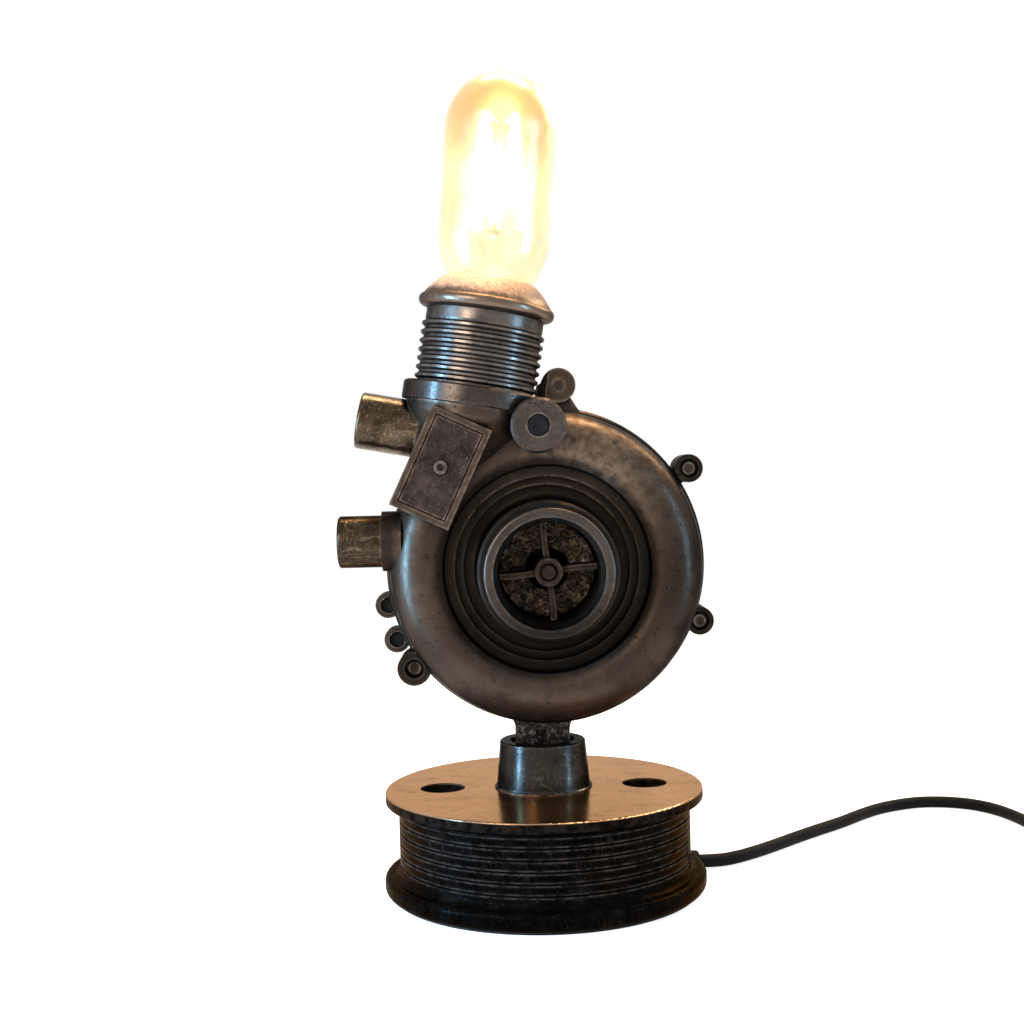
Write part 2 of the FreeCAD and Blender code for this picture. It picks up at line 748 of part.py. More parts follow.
def make_housing():
    tube_low = flange_back + flange_thickness
    reach = math.sqrt(tube_radius ** 2 - (tube_depth - tube_low) ** 2)
    edge_depth = tube_depth + math.sqrt(tube_radius ** 2 - (tube_circle - recess_radius) ** 2)
    shoulder = math.radians(35)
    outer = turned(
        (0, flange_back), (flange_radius - 0.6, flange_back), (flange_radius, flange_back + 0.6),
        (flange_radius, tube_low - 0.8), (flange_radius - 0.8, tube_low), (tube_circle + reach, tube_low),
        (tube_circle + tube_radius, tube_depth,
         tube_circle + tube_radius * math.sin(shoulder), tube_depth + tube_radius * math.cos(shoulder)),
        (tube_circle, tube_depth + tube_radius, recess_radius, edge_depth),
        (0, edge_depth))
    body = head(outer)
    cone_low = -collar_height - neck_tube_length
    outlet = neck(turned((0, cone_low - 14), (tube_radius - 2, cone_low - 14), (tube_radius, cone_low),
                         (neck_top_radius, -collar_height - 4), (neck_top_radius, -collar_height),
                         (0, -collar_height)))
    plate_space = head(ring(0, flange_radius + 0.4, flange_back - 60, flange_back))
    body = body.fuse(outlet.cut(plate_space))
    body = body.fuse(head(box_solid(box_width, box_length, box_back_depth, box_depth)))
    boss = switch_boss(boss_radius, boss_back_depth, switch_face_depth - switch_flange_thickness)
    body = body.fuse(boss)
    for ear in screw_ears:
        body = body.fuse(head(ear_solid(ear, flange_back)))
    web = Part.Face(Part.makePolygon([Vec(-17, 58, 0), Vec(-17, 64, 0), Vec(2, 76, 0), Vec(12, 68, 0),
                                      Vec(20, 55, 0), Vec(-17, 58, 0)]))
    web.translate(Vec(0, 0, flange_back))
    body = body.fuse(head(web.extrude(Vec(0, 0, flange_thickness))))
    for frame, radius, length, depth in spigots.values():
        seat = ring(0, radius + spigot_seat_wall, length - depth, length + 3)
        body = body.fuse(moved(seat, frame))
    lug = block(lug_width, lug_thickness, head_z - tube_circle - lug_bottom, 0, 0, lug_bottom)
    body = body.fuse(lug).fuse(lug_flare())
    body = body.removeSplitter().cut(neck(collar_room()).cut(boss))
    # the recess round the inlet, from its floor forwards
    recess = turned(
        (0, recess_floor_depth), (recess_step_two_radius, recess_floor_depth),
        (recess_step_two_radius, recess_step_two_depth), (recess_step_one_radius, recess_step_two_depth),
        (recess_step_one_radius, recess_step_one_depth), (recess_radius - 0.8, recess_step_one_depth),
        (recess_radius, edge_depth), (recess_radius, box_depth + 5), (0, box_depth + 5))
    body = body.cut(head(recess))
    fillet = sleeve_root_fillet
    spigot_end = sleeve_foot_depth + sleeve_spigot_length - sleeve_spigot_end_gap
    sleeve_root = turned(
        (0, recess_floor_depth - 1), (inlet_boss_radius + fillet, recess_floor_depth - 1),
        (inlet_boss_radius + fillet, recess_floor_depth),
        (inlet_boss_radius + 0.3 * fillet, recess_floor_depth + 0.3 * fillet,
         inlet_boss_radius, sleeve_foot_depth),
        (sleeve_spigot_radius, sleeve_foot_depth), (sleeve_spigot_radius, spigot_end), (0, spigot_end))
    body = body.fuse(head(sleeve_root))
    bore = turned(
        (0, flange_back - 1), (chamber_radius, flange_back - 1), (chamber_radius, chamber_depth - 1.5),
        (chamber_radius - 1.5, chamber_depth), (chamber_inner_radius, chamber_depth),
        (inlet_bore_radius, chamber_depth + 4), (inlet_bore_radius, inlet_depth - inlet_flare_depth),
        (inlet_mouth_radius, inlet_depth), (inlet_mouth_radius, inlet_depth + 1), (0, inlet_depth + 1))
    scroll = Part.makeTorus(scroll_circle, scroll_radius, Vec(0, 0, tube_depth - 0.5))
    body = body.cut(head(bore)).cut(head(scroll))
    duct = neck(turned((0, cone_low - 8), (scroll_radius - 1, cone_low - 8), (scroll_radius, cone_low),
                       (duct_top_radius, -collar_height - 5), (duct_top_radius, 1), (0, 1)))
    body = body.cut(duct)
    body = body.cut(head(box_solid(box_width - 2 * box_frame, box_length - 2 * box_frame,
                                   box_depth - box_recess, box_depth + 1)))
    body = body.cut(head(Part.makeCylinder(cover_screw_radius + thread_gap, cover_screw_length + 1,
                                           Vec(box_x - head_x, box_z - head_z,
                                               box_depth - cover_screw_length - 1))))
    body = body.cut(switch_boss(switch_barrel_radius + thread_gap, switch_barrel_back_depth - 4,
                                switch_face_depth))
    for ear in screw_ears:
        screw_end = plate_back + ear_screw_length
        top = ear[3] + 1 if ear is not neck_ear else screw_end + 1.0
        body = body.cut(head(at_ear(ear, ear_screw_radius + thread_gap, flange_back - 1, top)))
        if ear is not neck_ear:
            body = body.cut(head(at_ear(ear, ear_hole_radius, screw_end - 2.2, top)))
    for frame, radius, length, depth in spigots.values():
        body = body.cut(moved(ring(0, radius + press_gap, 0, length - depth), frame))
        body = body.cut(moved(ring(0, radius - spigot_shoulder + press_gap, 0, length), frame))
        body = body.cut(moved(ring(0, radius - spigot_wall, length - 1, length + 9), frame))
    lug_front = -lug_thickness / 2
    body = body.cut(Part.makeCylinder(lug_hole_radius, lug_hole_depth,
                                      Vec(-0.6, lug_front - 0.01, lug_hole_height), Vec(0, 1, 0)))
    thread_top = lug_bottom + stem_thread_in_lug
    body = body.cut(ring(0, stem_radius + thread_gap, lug_bottom - 1, thread_top))
    body = body.cut(Part.makeCylinder(wire_passage_radius, head_z - chamber_radius + 2 - thread_top + 1,
                                      Vec(0, wire_passage_back, thread_top - 1)))
    for screw in collar_screw_places():
        body = body.cut(neck(Part.makeCylinder(collar_screw_radius + thread_gap, collar_screw_length + 1,
                                               Vec(screw[0], screw[1], -collar_screw_length - 1))))
    return save("volute_housing", body)


def make_inlet_sleeve():
    seat_radius = sleeve_spigot_radius + press_gap
    seat_end = sleeve_foot_depth + sleeve_spigot_length
    rim_low = inlet_depth - inlet_ring_width
    sleeve = turned(
        (inlet_bore_radius, seat_end), (inlet_bore_radius, inlet_depth - inlet_flare_depth),
        (inlet_mouth_radius, inlet_depth), (inlet_ring_radius - 1.2, inlet_depth),
        (inlet_ring_radius - 0.35, inlet_depth - 0.35, inlet_ring_radius, inlet_depth - 1.2),
        (inlet_ring_radius, rim_low + 0.8), (inlet_neck_radius, rim_low),
        (inlet_neck_radius, inlet_boss_depth), (inlet_boss_radius - 1.0, inlet_boss_depth),
        (inlet_boss_radius, inlet_boss_depth - 1.0), (inlet_boss_radius, sleeve_foot_depth),
        (seat_radius, sleeve_foot_depth), (seat_radius, seat_end))
    save("inlet_sleeve", head(sleeve))


def make_spigots():
    for name, (frame, radius, length, depth) in spigots.items():
        inner = radius - spigot_wall
        soft = spigot_round
        shoulder = length - depth - press_gap
        tube = turned((inner, 0.6), (inner + 0.6, 0), (radius - soft, 0),
                      (radius - 0.29 * soft, 0.29 * soft, radius, soft), (radius, shoulder),
                      (radius - spigot_shoulder, shoulder), (radius - spigot_shoulder, length),
                      (inner, length))
        save(name, moved(tube, frame))


def make_gasket_and_back_plate():
    gasket = ring(chamber_radius + 0.5, flange_radius - 1.2, plate_front + press_gap,
                  flange_back - press_gap)
    plate = turned(
        (bearing_bore_radius + 2.0, hub_back_depth), (hub_radius - 1, hub_back_depth),
        (hub_radius, hub_back_depth + 1), (hub_radius, plate_back - rib_height),
        (hub_radius + 2, plate_back), (back_plate_radius - 0.8, plate_back),
        (back_plate_radius, plate_back + 0.8), (back_plate_radius, plate_front),
        (hub_radius, plate_front), (hub_radius, hub_front_depth),
        (bearing_bore_radius + 2.0, hub_front_depth))
    rib = block(rib_reach - hub_radius + 2, rib_thickness, rib_height + 0.5,
                (rib_reach + hub_radius) / 2 - 1, 0,
                plate_back - rib_height)
    slope = profile((rib_reach - 22, plate_back - rib_height - 1),
                    (rib_reach + 3, plate_back - rib_height - 1),
                    (rib_reach + 3, plate_back))
    slope.translate(Vec(0, -rib_thickness, 0))
    rib = rib.cut(slope.extrude(Vec(0, 2 * rib_thickness, 0)))
    for copy in polar_copies(rib, rib_count, 30):
        plate = plate.fuse(copy)
    for angle, distance, radius in [ear[:3] for ear in screw_ears + [spare_ear_one, spare_ear_two]]:
        a = math.radians(angle)
        x = distance * math.cos(a)
        y = distance * math.sin(a)
        plate = plate.fuse(Part.makeCylinder(radius, back_plate_thickness, Vec(x, y, plate_back)))
        stalk = block(distance - 50, radius * 1.3, back_plate_thickness, (distance + 50) / 2, 0, plate_back)
        stalk.rotate(Vec(0, 0, 0), Vec(0, 0, 1), angle)
        plate = plate.fuse(stalk)
    clear = ring(0, flange_radius + 0.3, plate_front, flange_back + 20).cut(ring(0, hub_radius + 1, -20, 0))
    plate = plate.cut(clear)
    bearing_back = bearing_front_depth - bearing_width - bearing_spacing
    shoulder_top = bearing_front_depth - bearing_width
    shoulder_low = bearing_back + bearing_width
    plate = plate.cut(ring(0, bearing_outer_radius + press_gap, shoulder_top, hub_front_depth + 1))
    plate = plate.cut(ring(0, bearing_outer_radius - 1.6, hub_back_depth - 1, hub_front_depth))
    plate = plate.cut(ring(0, bearing_outer_radius + press_gap, hub_back_depth - 1, shoulder_low))
    groove_low = bearing_front_depth + press_gap
    groove = ring(0, bearing_outer_radius + circlip_groove + press_gap, groove_low,
                  groove_low + circlip_thickness + 0.05)
    plate = plate.cut(groove)
    for ear in screw_ears:
        plate = plate.cut(at_ear(ear, ear_screw_radius + hole_gap, plate_back - 1, plate_front + 1))
        plate = plate.cut(at_ear(ear, ear_screw_head_radius + 0.4, plate_back - 9, plate_back))
    for ear in (spare_ear_one, spare_ear_two):
        plate = plate.cut(at_ear(ear, spare_ear_hole_radius, plate_back - 1, plate_front + 1))
    for ear in screw_ears:
        gasket = gasket.cut(at_ear(ear, ear_screw_radius + 1.2, plate_back, 0))
    neck_room = neck(ring(0, neck_top_radius + 0.4, -40, 0))
    outside = head(ring(0, 90, plate_back - 30, flange_back + 30).cut(
        ring(0, flange_radius + 0.2, plate_back - 40, flange_back + 40)))
    placed = head(plate)
    placed = placed.cut(neck_room.common(outside)).cut(neck(collar_room()))
    save("back_plate", placed)
    save("flange_gasket", head(gasket).cut(neck(collar_room())))
    screws = []
    for ear in screw_ears:
        under = plate_back
        shank = at_ear(ear, ear_screw_radius, under, under + ear_screw_length - 0.3)
        cap = at_ear(ear, ear_screw_head_radius, under - ear_screw_head_height, under)
        a = math.radians(ear[0])
        key = hexagon(4.0, 2.4, under - ear_screw_head_height - 0.1)
        key.translate(Vec(ear[1] * math.cos(a), ear[1] * math.sin(a), 0))
        screws.append(head(shank.fuse(cap).cut(key)))
    save("flange_screws", screws)


def make_bearings_and_rotor():
    front = bearing_front_depth
    backs = [front - bearing_width, front - bearing_width - bearing_spacing]
    inner_outer = bearing_bore_radius + bearing_race
    outer_inner = bearing_outer_radius - bearing_race
    ball_circle = (inner_outer + outer_inner) / 2
    outer_races = []
    inner_races = []
    balls = []
    for low in backs:
        middle = low + bearing_width / 2
        groove = Part.makeTorus(ball_circle, bearing_ball_radius + running_gap, Vec(0, 0, middle))
        outer_races.append(head(ring(outer_inner, bearing_outer_radius, low,
                                     low + bearing_width).cut(groove)))
        inner_races.append(head(ring(bearing_bore_radius + press_gap, inner_outer, low,
                                     low + bearing_width).cut(groove)))
        ball = Part.makeSphere(bearing_ball_radius, Vec(ball_circle, 0, middle))
        balls.extend(head(copy) for copy in polar_copies(ball, bearing_ball_count))
    save("bearing_outer_races", outer_races)
    save("bearing_inner_races", inner_races)
    save("bearing_balls", balls)
    save("bearing_spacer", head(ring(bearing_bore_radius + press_gap, inner_outer - 0.4,
                                     backs[1] + bearing_width, backs[0])))
    lip = bearing_outer_radius + circlip_groove
    clip = ring(lip - circlip_width - 0.6, lip, front + press_gap, front + press_gap + circlip_thickness)
    clip = clip.cut(block(12, 5, 4, lip, 0, front - 1))
    save("bearing_circlip", head(clip))
    shaft_back = backs[1] - 3.5
    clip_low = backs[1] - press_gap - circlip_thickness
    nose = shaft_nose_radius
    shaft = turned(
        (0, shaft_back), (bearing_bore_radius - 0.5, shaft_back), (bearing_bore_radius, shaft_back + 0.5),
        (bearing_bore_radius, clip_low), (bearing_bore_radius - circlip_groove, clip_low),
        (bearing_bore_radius - circlip_groove, clip_low + circlip_thickness),
        (bearing_bore_radius, clip_low + circlip_thickness), (bearing_bore_radius, front + 2),
        (nose, front + 2), (nose, shaft_nose_depth - 0.6), (nose - 0.6, shaft_nose_depth),
        (0, shaft_nose_depth))
    save("rotor_shaft", head(shaft))
    rear_clip = ring(bearing_bore_radius - circlip_groove + press_gap, bearing_bore_radius + 1.3,
                     clip_low + press_gap / 2, clip_low + circlip_thickness - press_gap / 2)
    rear_clip = rear_clip.cut(block(8, 3, 4, 5, 0, clip_low - 1))
    save("shaft_circlip", head(rear_clip))
    make_wheel(front)
    nut_low = wheel_front_depth
    nut = hexagon(wheel_nut_flats, wheel_nut_height, nut_low, wheel_nut_flats / 2 + 0.1)
    nut = nut.cut(ring(0, nose + thread_gap, nut_low - 1, nut_low + 9))
    sink = turned((0, nut_low + wheel_nut_height - 0.6), (nose, nut_low + wheel_nut_height - 0.6),
                  (nose + 0.6, nut_low + wheel_nut_height), (nose + 0.6, nut_low + 9), (0, nut_low + 9))
    save("impeller_nut", head(nut.cut(sink)))


def make_wheel(race_front):
    disc_low = wheel_disc_depth - wheel_disc_thickness
    sleeve = bearing_bore_radius + bearing_race - 0.4
    wheel = turned(
        (0, race_front), (sleeve, race_front), (sleeve, disc_low), (wheel_radius, disc_low),
        (wheel_radius, wheel_disc_depth), (wheel_hub_foot_radius, wheel_disc_depth),
        (wheel_hub_radius + 0.6, wheel_disc_depth + 6, wheel_hub_radius, wheel_disc_depth + 12),
        (wheel_hub_radius, wheel_front_depth), (0, wheel_front_depth))
    root = wheel_hub_radius - 1
    blade_height = wheel_front_depth - 1.0 - wheel_disc_depth
    for index in range(vane_count):
        middle = (root + wheel_radius) / 2
        half = vane_thickness / 2
        a = Vec(root, -half, wheel_disc_depth)
        b = Vec(middle, vane_bow - half, wheel_disc_depth)
        c = Vec(wheel_radius - 0.2, -half, wheel_disc_depth)
        d = Vec(wheel_radius - 0.2, half, wheel_disc_depth)
        e = Vec(middle, vane_bow + half, wheel_disc_depth)
        f = Vec(root, half, wheel_disc_depth)
        outline = Part.Wire([Part.Arc(a, b, c).toShape(), Part.LineSegment(c, d).toShape(),
                             Part.Arc(d, e, f).toShape(), Part.LineSegment(f, a).toShape()])
        blade = Part.Face(outline).extrude(Vec(0, 0, blade_height))
        blade.rotate(Vec(0, 0, 0), Vec(0, 0, 1), 90 * index + vane_turn)
        wheel = wheel.fuse(blade)
    bore = ring(0, shaft_nose_radius + press_gap, race_front + 2 + press_gap, wheel_front_depth + 1)
    bore = bore.fuse(ring(0, bearing_bore_radius + press_gap, race_front - 1, race_front + 2 + press_gap))
    wheel = wheel.common(ring(0, wheel_radius, race_front, wheel_front_depth)).cut(bore)
    save("impeller", head(wheel))


def make_cover_plate():
    inner_width = box_width - 2 * box_frame - 2 * cover_gap
    inner_length = box_length - 2 * box_frame - 2 * cover_gap
    low = box_depth - box_recess
    plate = box_solid(inner_width, inner_length, low, low + cover_thickness)
    x = box_x - head_x
    y = box_z - head_z
    plate = plate.cut(Part.makeCylinder(cover_screw_radius + hole_gap, 20, Vec(x, y, low - 5)))
    save("cover_plate", head(plate))
    top = low + cover_thickness
    screw = Part.makeCylinder(cover_screw_radius, cover_screw_length - 1.0,
                              Vec(x, y, top - cover_screw_length + 1.6))
    screw = screw.fuse(Part.makeCylinder(cover_screw_head_radius, cover_screw_head_height, Vec(x, y, top)))
    socket = Part.makeCylinder(cover_screw_head_radius * 0.55, cover_screw_head_height,
                               Vec(x, y, top + 0.5))
    save("cover_plate_screw", head(screw.cut(socket)))


def make_switch():
    """Push-button: flanged barrel, sprung button and two terminals, on the boss's axis."""
    face = switch_face_depth
    inner = button_collar_radius + running_gap
    collar_top = face - switch_flange_thickness - 1.4
    chamber_low = switch_barrel_back_depth + switch_floor
    barrel = turned(
        (button_radius + running_gap, face), (boss_radius - 0.9, face), (boss_radius, face - 0.9),
        (boss_radius, face - switch_flange_thickness),
        (switch_barrel_radius, face - switch_flange_thickness),
        (switch_barrel_radius, switch_barrel_back_depth),
        (button_stem_radius + running_gap, switch_barrel_back_depth),
        (button_stem_radius + running_gap, chamber_low), (inner, chamber_low), (inner, collar_top),
        (button_radius + running_gap, collar_top))
    tabs = []
    for side in (-1, 1):
        x = side * terminal_tab_spacing / 2
        slot = block(terminal_tab_thickness + 2 * press_gap, terminal_tab_width + 2 * press_gap, 2.5, x, 0,
                     switch_barrel_back_depth - 1)
        barrel = barrel.cut(slot)
        tab = block(terminal_tab_thickness, terminal_tab_width, terminal_tab_length, x, 0,
                    switch_barrel_back_depth + 1.5 - press_gap - terminal_tab_length)
        tabs.append(tab)
    stem_low = switch_barrel_back_depth - 0.5
    button_face = face - 0.1
    button = turned(
        (0, stem_low), (button_stem_radius, stem_low),
        (button_stem_radius, collar_top - button_collar_thickness),
        (button_collar_radius, collar_top - button_collar_thickness),
        (button_collar_radius, collar_top - running_gap),
        (button_radius, collar_top - running_gap), (button_radius, button_face - 0.4),
        (button_radius - 0.4, button_face), (button_radius - 1.2, button_face), (0, button_face - 0.5))
    spring_top = collar_top - button_collar_thickness - spring_wire_radius - 0.05
    spring_low = chamber_low + spring_wire_radius + 0.05
    pitch = (spring_top - spring_low) / spring_turns
    coil_radius = (button_stem_radius + inner) / 2
    helix = Part.makeHelix(pitch, spring_top - spring_low, coil_radius)
    section = Part.Wire(Part.makeCircle(spring_wire_radius, Vec(coil_radius, 0, 0),
                                        Vec(0, coil_radius, pitch / 6.2832)))
    spring = Part.Wire(helix).makePipeShell([section], True, True)
    spring.translate(Vec(0, 0, spring_low))
    place = FreeCAD.Placement(Vec(boss_x, 0, boss_z), FreeCAD.Rotation(Vec(1, 0, 0), 90))
    save("switch_body", moved(barrel, place))
    save("switch_button", moved(button, place))
    save("switch_spring", moved(spring, place))
    save("switch_terminals", [moved(tab, place) for tab in tabs])


# Neck, lampholder and bulb
def collar_screw_places():
    places = []
    for index in range(collar_screw_count):
        a = math.radians(30 + 360 * index / collar_screw_count)
        places.append((collar_screw_circle * math.cos(a), collar_screw_circle * math.sin(a)))
    return places


def make_collar():
    register = pulley_bore_radius - press_gap
    collar = turned(
        (0, -collar_web), (collar_cavity_radius, -collar_web), (collar_cavity_radius, -collar_height),
        (collar_radius - 0.4, -collar_height), (collar_radius, -collar_height + 0.4), (collar_radius, -0.8),
        (collar_radius - 0.8, 0), (register, 0), (register, collar_register_height),
        (0, collar_register_height))
    lean = math.radians(bulb_lean - neck_lean)
    down = holder_bottom * math.sin(lean) + bulb_offset
    nipple_hole = Part.makeCylinder(collar_nipple_hole_radius, 20, Vec(down, 0, -12))
    collar = collar.cut(nipple_hole)
    screws = []
    top = -press_gap
    for x, y in collar_screw_places():
        head_low = top - 2.2
        sink = Part.makeCylinder(collar_screw_head_radius + 0.2, 9, Vec(x, y, head_low))
        hole = Part.makeCylinder(collar_screw_radius + hole_gap, 20, Vec(x, y, -15))
        collar = collar.cut(sink).cut(hole)
        screw = Part.makeCylinder(collar_screw_head_radius, 2.0, Vec(x, y, head_low))
        screw = screw.fuse(Part.makeCylinder(collar_screw_radius, collar_screw_length + head_low,
                                             Vec(x, y, -collar_screw_length)))
        key = block(0.8, 5, 1, x, y, head_low + 1.1)
        screws.append(neck(screw.cut(key)))
    scallop = switch_boss(boss_radius + joint_gap, boss_back_depth - joint_gap, switch_face_depth + 1)
    save("neck_collar", neck(collar).cut(scallop))
    save("collar_screws", screws)


def make_lamp_pulley():
    valley = pulley_crest_radius - pulley_rib_depth
    half = pulley_rib_pitch / 2
    moves = [(pulley_bore_radius, 0), (valley, 0)]
    for index in range(pulley_rib_count):
        crest = pulley_first_crest + pulley_rib_pitch * index
        moves.append((valley, crest - half + 0.45))
        moves.append((pulley_crest_radius, crest - 0.45))
        moves.append((pulley_crest_radius, crest + 0.45))
        moves.append((valley, crest + half - 0.45))
    ribs_top = pulley_first_crest + pulley_rib_pitch * (pulley_rib_count - 0.5) + 0.4
    bead_top = rim_bottom + rim_bead_height
    bead_middle = rim_bottom + rim_bead_height / 2
    wall_top = rim_top - 7.0
    moves += [
        (pulley_plain_radius, ribs_top), (pulley_plain_radius, rim_bottom - 0.6),
        (pulley_plain_radius + 1.6, rim_bottom),
        (rim_radius - 0.8, rim_bottom + 0.6, rim_radius, bead_middle),
        (rim_radius - 0.35, bead_top - 0.5, rim_radius - 1.4, bead_top + 0.4),
        (rim_radius - 4.6, bead_top + 4.6, mouth_radius + 0.5, rim_top),
        (mouth_radius, rim_top - 0.4), (mouth_radius, rim_top - mouth_lip),
        (pulley_bore_radius, wall_top), (pulley_bore_radius, 0)]
    pulley = turned(*moves)
    grubs = []
    for index in range(grub_count):
        a = math.radians(grub_first_angle + grub_spacing * index)
        direction = Vec(math.cos(a), math.sin(a), 0)
        middle = Vec(0, 0, grub_height)
        start = middle + direction * (pulley_bore_radius - 0.5)
        pulley = pulley.cut(rod(start, middle + direction * 30, grub_radius + thread_gap))
        grub_start = middle + direction * (pulley_plain_radius - grub_length - 0.05)
        grub = rod(grub_start, grub_start + direction * grub_length, grub_radius)
        key = hexagon(2.0, 1.2, 0)
        key.Placement = FreeCAD.Placement(grub_start + direction * (grub_length - 1.1),
                                          FreeCAD.Rotation(Vec(0, 0, 1), direction))
        grubs.append(neck(grub.cut(key)))
    save("lampholder_pulley", neck(pulley))
    save("pulley_grub_screws", grubs)


def make_lampholder():
    shell_inner = cap_radius + running_gap
    shell_outer = shell_inner + shell_thickness
    cavity = shell_outer + press_gap
    boss_top = holder_bottom + holder_boss_height
    body = turned(
        (stem_radius + thread_gap, holder_bottom), (holder_radius - 1, holder_bottom),
        (holder_radius, holder_bottom + 1), (holder_radius, holder_top - 0.6),
        (holder_radius - 0.6, holder_top),
        (cavity, holder_top), (cavity, holder_floor_top), (holder_chamber_radius, holder_floor_top),
        (holder_chamber_radius, boss_top), (stem_radius + thread_gap, boss_top))
    save("holder_body", lamp(body))
    shell = ring(shell_inner, shell_outer, holder_floor_top + contact_strip_thickness + 0.8,
                 holder_top - 1.5)
    tab_low = holder_floor_top
    tab = block(shell_outer - lead_tab_x + 0.9, contact_strip_width, contact_strip_thickness,
                -(shell_outer + lead_tab_x - 0.9) / 2, 0, tab_low)
    tab = tab.common(ring(0, shell_outer, -50, 0))
    rise_ring = ring(shell_inner, shell_outer, tab_low, holder_floor_top + contact_strip_thickness + 1)
    rise_ring = rise_ring.common(block(10, contact_strip_width, 20, -shell_outer, 0, -40))
    save("holder_shell", lamp(shell.fuse(rise_ring).fuse(tab)))
    strip_low = holder_floor_top
    strip = block(shell_inner - 2.0, contact_strip_width, contact_strip_thickness,
                  (shell_inner - 2.0) / 2 - 0.4, 0, strip_low)
    pad = Part.makeCylinder(2.4, cap_bottom_gap() - strip_low - contact_strip_thickness,
                            Vec(0, 0, strip_low + contact_strip_thickness))
    save("holder_centre_contact", lamp(strip.fuse(pad)))
    nipple_top = boss_top - 0.4
    save("holder_nipple", lamp(ring(stem_bore_radius, stem_radius, nipple_top - nipple_length, nipple_top)))


def cap_bottom_gap():
    """Height just under the bulb's centre contact."""
    return cap_top - cap_height - insulator_height - contact_height - 0.02


def make_holder_seats():
    """Wedge washers each side of the collar's web, and the nut that clamps the nipple."""
    low_side = neck(ring(0, reach_past, collar_register_height + press_gap, reach_past))
    upper = lamp(ring(stem_radius + hole_gap, wedge_radius, holder_bottom - 6, holder_bottom - press_gap))
    upper = upper.common(low_side)
    under = neck(ring(0, reach_past, -reach_past, -collar_web - press_gap))
    depth = collar_register_height + collar_web
    nut_top = holder_bottom - depth - 3.2
    lower = lamp(ring(stem_radius + hole_gap, wedge_radius, nut_top + press_gap,
                      holder_bottom)).common(under)
    save("holder_wedges", [upper, lower])
    nut = hexagon(nipple_nut_flats, nipple_nut_height, nut_top - nipple_nut_height)
    save("holder_nut", lamp(nut.cut(ring(0, stem_radius + thread_gap, nut_top - 9, nut_top + 2))))


